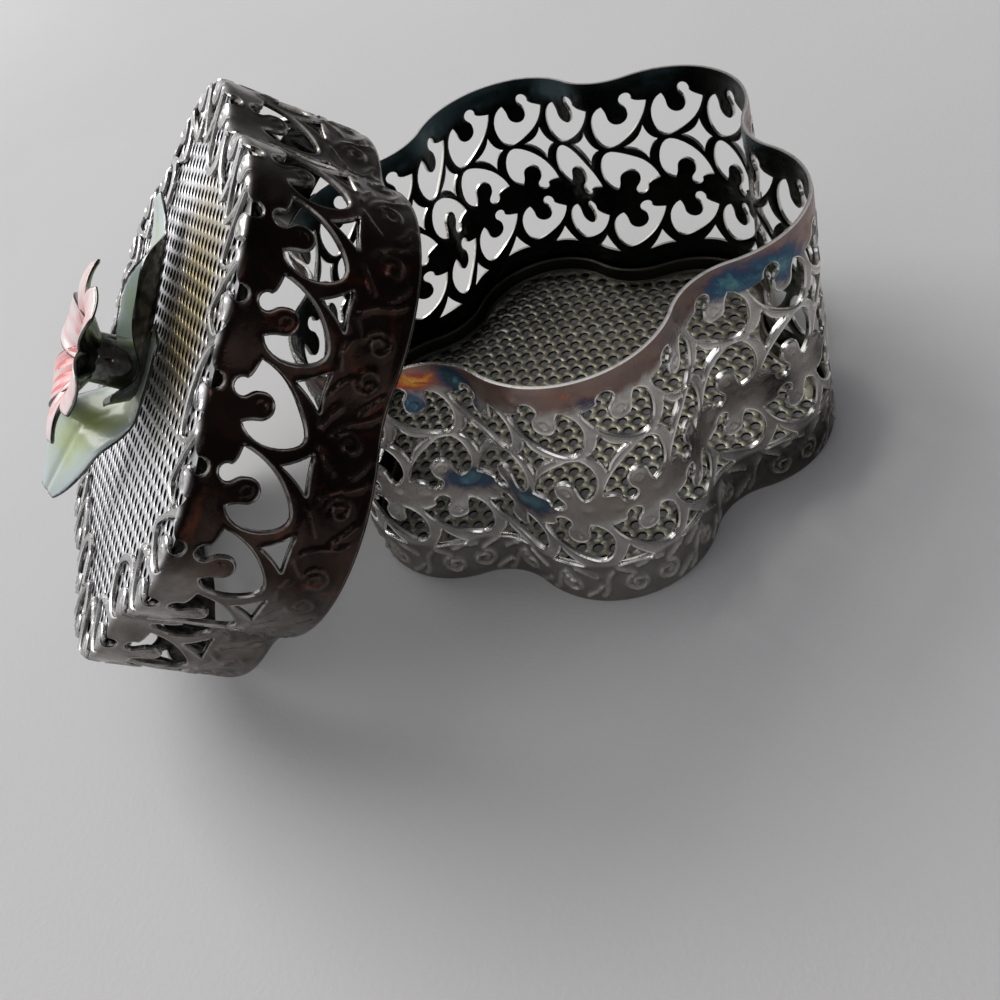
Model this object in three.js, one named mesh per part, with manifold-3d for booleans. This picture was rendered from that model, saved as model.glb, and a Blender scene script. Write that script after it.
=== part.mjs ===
// A trinket box of pierced sheet metal: a six-lobed base, and its lid leaning against it.
// Millimetres, +Z up. The front, which faces -Y, shows the outside of the base and the lid's skirt.

import * as THREE from "three";
import { mergeVertices } from "three/addons/utils/BufferGeometryUtils.js";
import Module from "manifold-3d";

const wasm = await Module();
wasm.setup();

// Sheet metal and fits
const sheet = 0.6; // thickness of the pierced strips and of the perforated sheets
const enamelSheet = 0.45; // thickness of the leaves and petals
const gap = 0.3; // air between two pieces that touch
const lidPlay = 0.45; // how loosely the lid goes over the base

// Base outline, at the rim
const baseReach = 33; // from the middle to a lobe's tip
const baseLobe = 12.2; // radius of a lobe
const baseValley = 8.1; // radius of the hollow between two lobes
const baseFlare = 1.0; // how much further the lobes reach at the foot
const baseTurn = -28.5; // degrees that the base is turned by

// Lid outline
const lidLobe = 16.4;
const lidValley = 8.6;

// The pierced strip, from its solid edge upwards
const bandHeight = 6.9; // embossed band
const rowRise = 5.5; // from the band to the tongues of the first row
const middleRise = 7.1; // from the first row's tongues to the second row's
const topRise = 9.9; // from the second row's tongues to the third row's
const rimRise = 5.1; // from the third row's tongues to the rim
const foldRise = 5.6; // from the lid's first row of tongues to its fold
const borderTongue = 1.5; // from the middle of the fold to the tongues of the border
const baseSeam = 4.6; // plain stretch where the strip's ends lap
const baseSeamPlace = 0.5814; // share of the way round from the first lobe
const lidSeam = 0.4;
const lidSeamPlace = 0.007;

// One crescent cut-out, measured from the middle of its tongue
const tongue = 1.4; // radius of the tongue's round end
const tongueEnds = 10; // degrees by which the round end stays short of half a circle on each side
const tongueNeck = 0.45; // from the middle to the neck, on the stepped side
const neckRise = 1.9;
const crescentDrop = 4.55; // down to the lowest point of the crescent
const crescentLeft = 4.05; // across to the corner of the stepped side
const crescentRight = 3.5; // across to the rounder side
const crescentRib = 0.55; // least metal between two crescents of a row
const cornerRise = 1.0;
const flankAside = 2.2; // where the slanting side bends
const flankDrop = 2.1;
const flankMiddle = 3.8; // depth of the slanting side below the tongue's middle
const footAside = 1.84; // of the lowest point and of the pointed tip above it
const tipRise = 1.45; // how far the pointed tip passes the tongue's middle
const notchRise = 2.75; // how far the stepped tip passes it
const notchAside = 1.6;

// The smaller cut-outs, measured from a tongue's middle
const diamondAside = 3.0;
const diamondLeft = 1.5;
const diamondRight = 2.85;
const diamondHalf = 2.35; // half of its height
const triangleAside = 2.9;
const triangleLeft = 1.6;
const triangleRight = 2.1;
const triangleHeight = 2.5;

// Folded border of the lid
const rib = 0.7; // metal left round a border crescent
const foldRound = 0.9; // size of the fold's rounded edge

// Floor
const floorLift = 1.0; // from the table to the underside of the floor
const floorFlange = 2.4; // height of the floor's upturned edge

// Leaves, measured from the middle of the lid
const leafWidth = 10;
const leafUpperReach = 20.5;
const leafUpperHeading = 250; // degrees round the lid
const leafUpperTip = 1.6; // how much higher its tip is than its root
const leafUpperRim = 2.4; // how far its edges curl up round the flower's foot
const leafLowerReach = 19.5;
const leafLowerHeading = 30;
const leafLowerTip = 6.0;
const leafLowerRoll = -0.45; // slope across its blade

// Flower
const petals = 6;
const cupRadius = 2.7;
const cupHeight = 2.4; // height at which the petals part
const petalBend = 4.2; // height at which they bend outwards
const petalReach = 10.6; // from the flower's middle to a petal's tip
const petalRise = 2.4; // from the bend to the highest part of a petal
const petalWidth = 6.4;

// Shares of half a sine wave that give the leaves and petals their outline, from root to tip
const leafRootShare = 0.1;
const leafTipShare = 0.95;
const leafFullness = 0.7;
const petalRootShare = 0.2;
const petalTipShare = 0.86;
const petalDroop = 0.72;

// How the lid leans
const leanTilt = 44.9; // degrees between the lid's axis and the vertical
const leanHeading = 188.0; // degrees, the way its top faces
const leanSpin = -25.2; // degrees that the lid is turned about its own axis
const leanAside = -8.1; // how far its middle lies towards the front

// Fineness of the facets
const roundSteps = 2;
const tongueSteps = 3;
const leafSteps = [6, 6];
const leafBunching = 1.6; // draws the facets' rows towards the root
const petalSteps = [5, 2];
const cupSides = 12;
const samplesAround = 360;
const slideHalvings = 24;

const fineness = 0.004; // corners flatter than this are left out

const lobes = 6;
const sector = (2 * Math.PI) / lobes;
const radians = THREE.MathUtils.degToRad;

// A lobed outline: arcs of the lobes joined by smooth hollows. It is followed by its length from the
// middle of the first lobe, and every point comes with the direction that faces out.
function lobedOutline(reach, lobe, valley) {
  const lobeAt = reach - lobe;
  const half = sector / 2;
  const across = lobeAt * Math.sin(half);
  const valleyAt = lobeAt * Math.cos(half) + Math.sqrt((lobe + valley) ** 2 - across ** 2);
  const valleyX = valleyAt * Math.cos(half);
  const valleyY = valleyAt * Math.sin(half);
  const lobeHalf = Math.atan2(valleyY, valleyX - lobeAt);
  const valleyHalf = lobeHalf - half;
  const lobeLength = 2 * lobeHalf * lobe;
  const valleyLength = 2 * valleyHalf * valley;
  const period = lobeLength + valleyLength;

  function at(along) {
    const number = Math.floor((along + lobeLength / 2) / period);
    const local = along - number * period;
    const turn = number * sector;
    if (local <= lobeLength / 2) {
      const angle = local / lobe + turn;
      return {
        x: lobeAt * Math.cos(turn) + lobe * Math.cos(angle),
        y: lobeAt * Math.sin(turn) + lobe * Math.sin(angle),
        nx: Math.cos(angle),
        ny: Math.sin(angle),
      };
    }
    const middle = turn + half;
    const angle = middle + valleyHalf - (local - lobeLength / 2) / valley;
    return {
      x: valleyAt * Math.cos(middle) - valley * Math.cos(angle),
      y: valleyAt * Math.sin(middle) - valley * Math.sin(angle),
      nx: Math.cos(angle),
      ny: Math.sin(angle),
    };
  }

  // Distance from the outline, above zero outside it
  function outside(x, y) {
    const angle = Math.atan2(y, x);
    const folded = Math.abs(angle - sector * Math.round(angle / sector));
    const radius = Math.hypot(x, y);
    const px = radius * Math.cos(folded);
    const py = radius * Math.sin(folded);
    if (Math.atan2(py, px - lobeAt) <= lobeHalf) {
      return Math.hypot(px - lobeAt, py) - lobe;
    }
    return valley - Math.hypot(px - valleyX, py - valleyY);
  }

  return { at, outside, length: lobes * period };
}

// A strip bent along an outline: its repeats start beside the seam. Its facets meet at the middle of each
// repeat and in the free stretch beside it, on the side of the crescents that the sign gives.
function bentStrip(outline, seam, seamPlace, sign) {
  const free = outline.length - seam;
  const count = Math.floor(free / (crescentLeft + crescentRight + crescentRib));
  const pitch = free / count;
  const start = outline.length * seamPlace + seam / 2;
  const places = Array.from({ length: count }, (_, k) => start + (k + 0.5) * pitch);
  const aside = (crescentRight + pitch - diamondAside - diamondLeft) / 2;
  const facets = places.flatMap((along) => [along, along + sign * aside]);
  const lapEdges = seam > aside ? [start - seam, start] : [];
  const stations = [...lapEdges, ...facets].sort((a, b) => a - b);
  return { outline, pitch, places, stations };
}

const baseOutline = lobedOutline(baseReach, baseLobe, baseValley);
const baseStrip = bentStrip(baseOutline, baseSeam, baseSeamPlace, 1);
const lidReach = baseReach + lidPlay + sheet;
const lidOutline = lobedOutline(lidReach, lidLobe, lidValley);
const lidStrip = bentStrip(lidOutline, lidSeam, lidSeamPlace, -1);

const firstRow = bandHeight + rowRise;
const secondRow = firstRow + middleRise;
const thirdRow = secondRow + topRise;
const baseHeight = thirdRow + rimRise;
const lidHeight = firstRow + foldRise;

// faces says which flat face each triangle belongs to
function toManifold(positions, indices, faces) {
  return new wasm.Manifold(new wasm.Mesh({
    numProp: 3,
    vertProperties: new Float32Array(positions),
    triVerts: new Uint32Array(indices),
    faceID: new Uint32Array(faces),
    tolerance: fineness,
  }));
}

function toGeometry(solid) {
  const mesh = solid.getMesh();
  const geometry = new THREE.BufferGeometry();
  geometry.setAttribute("position", new THREE.BufferAttribute(new Float32Array(mesh.vertProperties), 3));
  geometry.setIndex(new THREE.BufferAttribute(new Uint32Array(mesh.triVerts), 1));
  return geometry;
}

// A closed prism over a flat outline with holes. place(a, b, depth) bends the flat drawing into space.
function bentPrism(contour, holes, place, low, high) {
  const rings = [contour, ...holes];
  const triangles = THREE.ShapeUtils.triangulateShape(contour, holes);
  const flat = rings.flat();
  const positions = [];
  for (const depth of [low, high]) {
    for (const point of flat) {
      positions.push(...place(point.x, point.y, depth));
    }
  }
  const indices = [];
  const faces = [];
  for (const [a, b, c] of triangles) {
    indices.push(a + flat.length, b + flat.length, c + flat.length);
    indices.push(a, c, b);
    faces.push(0, 1);
  }
  let start = 0;
  for (const ring of rings) {
    for (let k = 0; k < ring.length; k += 1) {
      const a = start + k;
      const b = start + ((k + 1) % ring.length);
      indices.push(a, b, b + flat.length);
      indices.push(a, b + flat.length, a + flat.length);
      faces.push(a + 2, a + 2);
    }
    start += ring.length;
  }
  return toManifold(positions, indices, faces);
}

// A flat ring of points that follows a strip, moved inwards by inset
function followed(strip, inset) {
  return strip.stations.map((along) => {
    const p = strip.outline.at(along);
    return new THREE.Vector2(p.x - p.nx * inset, p.y - p.ny * inset);
  });
}

function upright(x, y, depth) {
  return [x, y, depth];
}

function ringSolid(strip, outerInset, innerInset, low, high) {
  const inner = followed(strip, innerInset).reverse();
  return bentPrism(followed(strip, outerInset), [inner], upright, low, high);
}

function plateSolid(strip, inset, low, high) {
  return bentPrism(followed(strip, inset), [], upright, low, high);
}

// Drawing of one crescent: a slanting drop with a pointed tip on one side, a stepped tip on the other
// and a round-ended tongue that hangs in between them. The tongue's middle is at zero.
function crescentOutline() {
  const at = (x, y) => new THREE.Vector2(x, y);
  const points = [
    at(-crescentLeft, cornerRise),
    at(-flankAside, -flankDrop),
    at(0, -flankMiddle),
    at(footAside, -crescentDrop),
  ];
  const roundMiddle = (tipRise - crescentDrop) / 2;
  for (let step = 1; step <= roundSteps; step += 1) {
    const angle = Math.PI * (step / roundSteps - 0.5);
    points.push(at(
      footAside + (crescentRight - footAside) * Math.cos(angle),
      roundMiddle + (tipRise - roundMiddle) * Math.sin(angle),
    ));
  }
  for (let step = 0; step < tongueSteps; step += 1) {
    const angle = radians(THREE.MathUtils.lerp(-tongueEnds, tongueEnds - 180, step / (tongueSteps - 1)));
    points.push(at(tongue * Math.cos(angle), tongue * Math.sin(angle)));
  }
  points.push(at(-tongueNeck, neckRise));
  points.push(at(-notchAside, notchRise));
  return points;
}

// The diamond between two crescents and the two upturned ones below them
function diamondOutline() {
  const middle = -topRise / 2;
  return [
    new THREE.Vector2(-diamondAside, middle + diamondHalf),
    new THREE.Vector2(-diamondAside - diamondLeft, middle),
    new THREE.Vector2(-diamondAside, middle - diamondHalf),
    new THREE.Vector2(-diamondAside + diamondRight, middle),
  ];
}

// The small triangle that stands on the embossed band, beside each crescent of the first row
function triangleOutline() {
  return [
    new THREE.Vector2(-triangleAside - triangleLeft, -rowRise),
    new THREE.Vector2(-triangleAside + triangleRight, -rowRise),
    new THREE.Vector2(-triangleAside, -rowRise + triangleHeight),
  ];
}

function turnedOver(points) {
  return points.map((p) => new THREE.Vector2(p.x, -p.y)).reverse();
}

function mirrored(points) {
  return points.map((p) => new THREE.Vector2(-p.x, p.y)).reverse();
}

function cutAll(solid, cutters) {
  return cutters.reduce((rest, cutter) => rest.subtract(cutter), solid);
}

// One flat box for each facet of a strip, with its length along X, its height along Y and its outer
// face at Z = 0
function flatBoxes(strip, low, high) {
  const ends = [...strip.stations.slice(1), strip.stations[0] + strip.outline.length];
  return strip.stations.map((from, k) => {
    const corners = [[from, low], [ends[k], low], [ends[k], high], [from, high]];
    return bentPrism(corners.map(([x, y]) => new THREE.Vector2(x, y)), [], upright, -sheet, 0);
  });
}

function joined(solids) {
  return solids.reduce((whole, solid) => whole.add(solid));
}

// A cutter that goes straight through a flat strip
function flatCutter(drawing, along, height) {
  const moved = drawing.map((p) => new THREE.Vector2(along + p.x, height + p.y));
  return bentPrism(moved, [], upright, -2 * sheet, sheet);
}

// The place on a strip's flat facets, and the direction that faces out there
function facetAt(strip, along) {
  const { stations, outline } = strip;
  const next = stations.findIndex((station) => station > along + fineness);
  const after = next < 0 ? stations.length : next;
  const low = stations[after - 1];
  const high = after < stations.length ? stations[after] : stations[0] + outline.length;
  const share = (along - low) / (high - low);
  const a = outline.at(low);
  const b = outline.at(high);
  const mix = (key) => THREE.MathUtils.lerp(a[key], b[key], share);
  return { x: mix("x"), y: mix("y"), nx: mix("nx"), ny: mix("ny") };
}

// Bends a flat strip into a closed ring. profile(up, depth) gives the distance inwards from the outline
// and the height. The strip's two ends meet, so their end faces are left out.
function bentRing(strip, solid, profile) {
  const mesh = solid.getMesh();
  const first = strip.stations[0];
  const last = first + strip.outline.length;
  const isAt = (vertex, along) => Math.abs(mesh.vertProperties[3 * vertex] - along) < fineness;
  const positions = [];
  for (let k = 0; k < mesh.vertProperties.length / 3; k += 1) {
    const [along, up, depth] = mesh.vertProperties.slice(3 * k, 3 * k + 3);
    const p = facetAt(strip, isAt(k, last) ? first : Math.max(along, first));
    const [inwards, height, grow] = profile(up, depth);
    positions.push((p.x - p.nx * inwards) * grow, (p.y - p.ny * inwards) * grow, height);
  }
  const indices = [];
  for (let k = 0; k < mesh.triVerts.length; k += 3) {
    const corners = Array.from(mesh.triVerts.slice(k, k + 3));
    const isEnd = [first, last].some((along) => corners.every((vertex) => isAt(vertex, along)));
    if (!isEnd) indices.push(...corners);
  }
  const geometry = new THREE.BufferGeometry();
  geometry.setAttribute("position", new THREE.Float32BufferAttribute(positions, 3));
  geometry.setIndex(indices);
  return mergeVertices(geometry, fineness / 4);
}

// How much wider the base is at a height than at its rim
function flareAt(height) {
  return 1 + (baseFlare / baseReach) * (1 - height / baseHeight);
}

function baseWall() {
  const crescent = crescentOutline();
  const cutters = baseStrip.places.flatMap((along) => [
    flatCutter(triangleOutline(), along, firstRow),
    flatCutter(crescent, along, firstRow),
    flatCutter(turnedOver(crescent), along, secondRow),
    flatCutter(diamondOutline(), along, thirdRow),
    flatCutter(crescent, along, thirdRow),
  ]);
  const strip = cutAll(joined(flatBoxes(baseStrip, 0, baseHeight)), cutters);
  return bentRing(baseStrip, strip, (up, depth) => [-depth, up, flareAt(up)]);
}

function baseFloor() {
  const edge = sheet + gap;
  const top = floorLift + sheet;
  const plate = plateSolid(baseStrip, edge, floorLift, top);
  const flange = ringSolid(baseStrip, edge, edge + sheet, floorLift, top + floorFlange);
  const geometry = toGeometry(plate.add(flange));
  const grow = flareAt(top + floorFlange);
  geometry.scale(grow, grow, 1);
  return geometry;
}

// The lid stands on its rim here, with its fold at the top; it is leaned over afterwards.
function lidWall() {
  const { pitch, places, stations, outline } = lidStrip;
  const crescent = mirrored(crescentOutline());
  const bendStart = lidHeight - foldRound;
  const bendEnd = bendStart + foldRound * Math.SQRT2;
  const foldMiddle = (bendStart + bendEnd) / 2;
  const deep = borderTongue + crescentDrop + rib;
  const cutters = places.flatMap((along) => [
    flatCutter(mirrored(triangleOutline()), along, firstRow),
    flatCutter(crescent, along, firstRow),
    flatCutter(turnedOver(crescent), along, foldMiddle + borderTongue),
  ]);
  const around = [...places, places[0] + outline.length];
  const edge = around.flatMap((along) => borderScallop(pitch).map((p) => p.clone().add({ x: along, y: 0 })));
  const last = stations[0] + outline.length;
  const beyond = [
    new THREE.Vector2(last + pitch, edge[0].y),
    new THREE.Vector2(last + pitch, 2 * deep),
    new THREE.Vector2(stations[0] - pitch, 2 * deep),
    new THREE.Vector2(stations[0] - pitch, edge[0].y),
  ];
  cutters.push(flatCutter([...edge, ...beyond], 0, foldMiddle));
  const heights = [0, bendStart, bendEnd, foldMiddle + deep + rib];
  const boxes = heights.slice(1).flatMap((high, k) => flatBoxes(lidStrip, heights[k], high));
  return bentRing(lidStrip, cutAll(joined(boxes), cutters), (up, depth) => {
    const share = THREE.MathUtils.clamp((up - bendStart) / (bendEnd - bendStart), 0, 1);
    const inwards = THREE.MathUtils.lerp(-depth, foldRound + Math.max(0, up - bendEnd), share);
    const height = THREE.MathUtils.lerp(Math.min(up, bendStart), lidHeight + depth, share);
    return [inwards, height, 1];
  });
}

// Inner edge of the lid's border, measured from the fold: a rounded scallop round each of its crescents
function borderScallop(pitch) {
  const deep = borderTongue + crescentDrop + rib;
  return [
    new THREE.Vector2(-pitch / 2, deep - rib),
    new THREE.Vector2(-footAside, deep),
    new THREE.Vector2(0, deep - rib / 2),
    new THREE.Vector2(crescentLeft - footAside, deep - crescentDrop / 3),
  ];
}

function lidMesh() {
  const top = lidHeight - sheet - gap;
  return toGeometry(plateSolid(lidStrip, sheet + gap, top - sheet, top));
}

// A thin curved sheet: surface(s, t) gives its middle layer, with s and t from 0 to 1
function bentSheet(surface, alongSteps, acrossSteps, thickness) {
  const small = 1e-3;
  const rows = alongSteps + 1;
  const columns = acrossSteps + 1;
  const layers = [];
  for (const side of [-0.5, 0.5]) {
    for (let i = 0; i < rows; i += 1) {
      for (let j = 0; j < columns; j += 1) {
        const s = THREE.MathUtils.clamp(i / alongSteps, small, 1 - small);
        const t = THREE.MathUtils.clamp(j / acrossSteps, small, 1 - small);
        const ds = surface(s + small, t).sub(surface(s - small, t));
        const dt = surface(s, t + small).sub(surface(s, t - small));
        const normal = ds.cross(dt).normalize();
        layers.push(surface(i / alongSteps, j / acrossSteps).addScaledVector(normal, side * thickness));
      }
    }
  }
  const count = rows * columns;
  const indices = [];
  const index = (i, j) => i * columns + j;
  const quad = (a, b, c, d) => indices.push(a, b, c, a, c, d);
  for (let i = 0; i < alongSteps; i += 1) {
    for (let j = 0; j < acrossSteps; j += 1) {
      const [a, b, c, d] = [index(i, j), index(i + 1, j), index(i + 1, j + 1), index(i, j + 1)];
      quad(a + count, b + count, c + count, d + count);
      quad(a, d, c, b);
    }
  }
  const edge = [];
  for (let i = 0; i < alongSteps; i += 1) edge.push(index(i, 0));
  for (let j = 0; j < acrossSteps; j += 1) edge.push(index(alongSteps, j));
  for (let i = alongSteps; i > 0; i -= 1) edge.push(index(i, acrossSteps));
  for (let j = acrossSteps; j > 0; j -= 1) edge.push(index(0, j));
  edge.forEach((a, k) => {
    const b = edge[(k + 1) % edge.length];
    quad(a, b, b + count, a + count);
  });
  const faces = Array.from({ length: indices.length / 3 }, (_, k) => k);
  return toManifold(layers.flatMap((p) => p.toArray()), indices, faces);
}

const meshTop = lidHeight - sheet - gap;
const leafSeat = meshTop + gap + enamelSheet;
const cupSeat = leafSeat + 2 * (enamelSheet + gap);

// A leaf that lies flat under the flower. Its edges curl up by rim beyond the flower's foot. lift(s) is the
// height of its spine over its root, and roll the slope across its blade.
function leaf(reach, heading, seat, rim, roll, lift) {
  const flat = cupRadius + enamelSheet / 2 + 2 * gap;
  const root = leafWidth / 2;
  const surface = (s, t) => {
    const share = s ** leafBunching;
    const along = THREE.MathUtils.lerp(-root, reach, share);
    const blade = Math.sin(Math.PI * THREE.MathUtils.lerp(leafRootShare, leafTipShare, share));
    const across = (t - 0.5) * leafWidth * Math.pow(blade, leafFullness);
    const fromFoot = Math.hypot(Math.min(along, 0), across);
    const curl = rim * THREE.MathUtils.smoothstep(fromFoot, flat, root);
    const free = THREE.MathUtils.smoothstep(along, flat, 3 * flat);
    return new THREE.Vector3(along, across, seat + (lift(share) + roll * across) * free + curl);
  };
  return toGeometry(bentSheet(surface, ...leafSteps, enamelSheet)).rotateZ(radians(heading));
}

function petalSurface(heading) {
  const flare = petalReach - cupRadius;
  const clawHalf = (cupRadius * Math.PI) / petals - gap / 2;
  const foot = cupHeight - enamelSheet;
  return (s, t) => {
    const along = THREE.MathUtils.lerp(foot, petalBend + flare, s);
    const open = Math.max(0, along - petalBend) / flare;
    const bend = THREE.MathUtils.smoothstep(along, cupHeight, petalBend + cupRadius / 2);
    const radius = cupRadius + flare * open * bend;
    const height = Math.min(along, petalBend) + petalRise * Math.sin(petalDroop * Math.PI * open);
    const blade = Math.sin(Math.PI * THREE.MathUtils.lerp(petalRootShare, petalTipShare, open));
    const half = THREE.MathUtils.lerp(clawHalf, (petalWidth / 2) * Math.sqrt(blade), bend);
    const angle = heading + ((2 * t - 1) * half) / radius;
    return new THREE.Vector3(radius * Math.cos(angle), radius * Math.sin(angle), cupSeat + height);
  };
}

function flowerCorolla() {
  const outer = cupRadius + enamelSheet / 2;
  const inner = cupRadius - enamelSheet / 2;
  const profile = [
    new THREE.Vector2(0, cupSeat - enamelSheet / 2),
    new THREE.Vector2(outer, cupSeat - enamelSheet / 2),
    new THREE.Vector2(outer, cupSeat + cupHeight),
    new THREE.Vector2(inner, cupSeat + cupHeight),
    new THREE.Vector2(inner, cupSeat + enamelSheet / 2),
    new THREE.Vector2(0, cupSeat + enamelSheet / 2),
  ];
  let flower = latheSolid(profile, cupSides);
  for (let k = 0; k < petals; k += 1) {
    const surface = petalSurface((2 * Math.PI * k) / petals);
    flower = flower.add(bentSheet(surface, ...petalSteps, enamelSheet));
  }
  return toGeometry(flower);
}

function latheSolid(profile, segments) {
  const geometry = new THREE.LatheGeometry(profile, segments);
  geometry.rotateX(Math.PI / 2);
  geometry.deleteAttribute("normal");
  geometry.deleteAttribute("uv");
  const merged = mergeVertices(geometry, fineness / 4);
  const index = Array.from(merged.getIndex().array);
  const kept = [];
  for (let k = 0; k < index.length; k += 3) {
    const [a, b, c] = index.slice(k, k + 3);
    if (a !== b && b !== c && c !== a) kept.push(a, b, c);
  }
  const faces = Array.from({ length: kept.length / 3 }, (_, k) => k);
  return toManifold(merged.getAttribute("position").array, kept, faces);
}

// Placing the lid. It leans by its own tilt, its lowest edge on the table, and slides towards the base
// until only the gap is left between them.
const lean = new THREE.Quaternion()
  .setFromAxisAngle(new THREE.Vector3(0, 0, 1), radians(leanHeading))
  .multiply(new THREE.Quaternion().setFromAxisAngle(new THREE.Vector3(0, 1, 0), radians(leanTilt)))
  .multiply(new THREE.Quaternion().setFromAxisAngle(new THREE.Vector3(0, 0, 1), radians(leanSpin)));

const lidGeometry = lidWall();

function lowestOf(geometry) {
  const position = geometry.getAttribute("position");
  let lowest = Infinity;
  for (let k = 0; k < position.count; k += 1) {
    const point = new THREE.Vector3().fromBufferAttribute(position, k).applyQuaternion(lean);
    lowest = Math.min(lowest, point.z);
  }
  return lowest;
}

// Points all over a ring wall, on its outer and inner faces
function wallSamples(outline, heights, place) {
  const points = [];
  for (let k = 0; k < samplesAround; k += 1) {
    const p = outline.at((outline.length * k) / samplesAround);
    for (const inset of [0, sheet]) {
      for (const height of heights) {
        points.push(place(p.x - p.nx * inset, p.y - p.ny * inset, height));
      }
    }
  }
  return points;
}

// Free distance between a point and a ring wall, on whichever side of the wall it is
function freeOf(outline, x, y) {
  const out = outline.outside(x, y);
  return out > -sheet / 2 ? out : -out - sheet;
}

const turned = radians(baseTurn);
const lidLift = -lowestOf(lidGeometry);
const sampleShares = [0, 0.02, 0.05, 0.1, 0.2, 0.35, 0.5, 0.65, 0.8, 0.9, 1];
const lidPoints = wallSamples(
  lidOutline,
  sampleShares.map((share) => share * lidHeight),
  (x, y, z) => new THREE.Vector3(x, y, z).applyQuaternion(lean),
);
const basePoints = wallSamples(
  baseOutline,
  sampleShares.map((share) => (1 - share) * baseHeight),
  (x, y, z) => {
    const grow = flareAt(z);
    return new THREE.Vector3(x * grow, y * grow, z).applyAxisAngle(new THREE.Vector3(0, 0, 1), turned);
  },
);

function clearanceAt(slide) {
  const offset = new THREE.Vector3(slide, leanAside, lidLift);
  const back = lean.clone().invert();
  let least = Infinity;
  for (const local of lidPoints) {
    const p = local.clone().add(offset);
    if (p.z < baseHeight) {
      const grow = flareAt(p.z);
      p.applyAxisAngle(new THREE.Vector3(0, 0, 1), -turned).divideScalar(grow);
      least = Math.min(least, freeOf(baseOutline, p.x, p.y));
    }
  }
  for (const point of basePoints) {
    const p = point.clone().sub(offset).applyQuaternion(back);
    if (p.z > 0) {
      least = Math.min(least, freeOf(lidOutline, p.x, p.y), meshTop - sheet - p.z);
    }
  }
  return least;
}

function slideToContact() {
  let away = -3 * baseReach;
  let near = -0.6 * baseReach;
  for (let k = 0; k < slideHalvings; k += 1) {
    const middle = (away + near) / 2;
    if (clearanceAt(middle) > gap) {
      away = middle;
    } else {
      near = middle;
    }
  }
  return away;
}

// Finishes
function finish(color, roughness, metalness) {
  return new THREE.MeshStandardMaterial({ color, roughness, metalness });
}

const tarnished = finish(0x8a857c, 0.42, 0.9);
const darkened = finish(0x4a403a, 0.38, 0.9);
const brightMesh = finish(0xb9b6ae, 0.4, 0.85);
const greenEnamel = finish(0xcdd9b0, 0.3, 0.1);
const pinkEnamel = finish(0xe9b7b8, 0.3, 0.1);

function piece(name, geometry, material) {
  const mesh = new THREE.Mesh(geometry, material);
  mesh.name = name;
  return mesh;
}

const base = new THREE.Group();
base.rotation.z = turned;
base.add(piece("base_wall", baseWall(), tarnished));
base.add(piece("base_floor", baseFloor(), brightMesh));

const upperSeat = leafSeat + enamelSheet + gap;
const upperLift = (s) => leafUpperTip * s ** 6;
const lowerLift = (s) => leafLowerTip * Math.sqrt(s);

const lid = new THREE.Group();
lid.quaternion.copy(lean);
lid.position.set(slideToContact(), leanAside, lidLift);
lid.add(piece("lid_wall", lidGeometry, darkened));
lid.add(piece("lid_mesh", lidMesh(), brightMesh));
const upperLeaf = leaf(leafUpperReach, leafUpperHeading, upperSeat, leafUpperRim, 0, upperLift);
const lowerLeaf = leaf(leafLowerReach, leafLowerHeading, leafSeat, 0, leafLowerRoll, lowerLift);
lid.add(piece("leaf_upper", upperLeaf, greenEnamel));
lid.add(piece("leaf_lower", lowerLeaf, greenEnamel));
lid.add(piece("flower_corolla", flowerCorolla(), pinkEnamel));

// The whole stands on the table, with the origin under its middle
const box = new THREE.Group();
box.add(base, lid);
box.updateMatrixWorld(true);
const extent = new THREE.Box3().setFromObject(box, true);
box.position.set(-(extent.min.x + extent.max.x) / 2, -(extent.min.y + extent.max.y) / 2, 0);

const trinketBox = new THREE.Group();
trinketBox.add(box);

export default trinketBox;
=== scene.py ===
import math

import bpy
import numpy as np
from mathutils import Matrix, Quaternion, Vector
from mathutils.geometry import delaunay_2d_cdt


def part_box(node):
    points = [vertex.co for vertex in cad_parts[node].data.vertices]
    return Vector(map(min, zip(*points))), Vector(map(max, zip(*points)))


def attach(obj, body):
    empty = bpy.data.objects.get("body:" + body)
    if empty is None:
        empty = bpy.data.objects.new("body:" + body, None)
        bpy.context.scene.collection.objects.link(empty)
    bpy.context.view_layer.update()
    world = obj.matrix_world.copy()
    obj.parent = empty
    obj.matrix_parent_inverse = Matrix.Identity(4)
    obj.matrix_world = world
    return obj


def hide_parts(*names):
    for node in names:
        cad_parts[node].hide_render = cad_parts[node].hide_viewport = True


# A trinket box of pierced and embossed sheet metal. Sizes here are millimetres, drawn flat or in the
# frame of the base or the lid, and are turned into the row's metres when a piece is made.

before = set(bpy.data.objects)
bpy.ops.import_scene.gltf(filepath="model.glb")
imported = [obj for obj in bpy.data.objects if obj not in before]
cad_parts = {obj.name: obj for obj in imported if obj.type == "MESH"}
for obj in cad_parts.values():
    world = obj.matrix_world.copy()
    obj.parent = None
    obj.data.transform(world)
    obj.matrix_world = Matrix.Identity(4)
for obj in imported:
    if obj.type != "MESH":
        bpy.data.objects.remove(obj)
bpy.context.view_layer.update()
MM = 0.001

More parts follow.
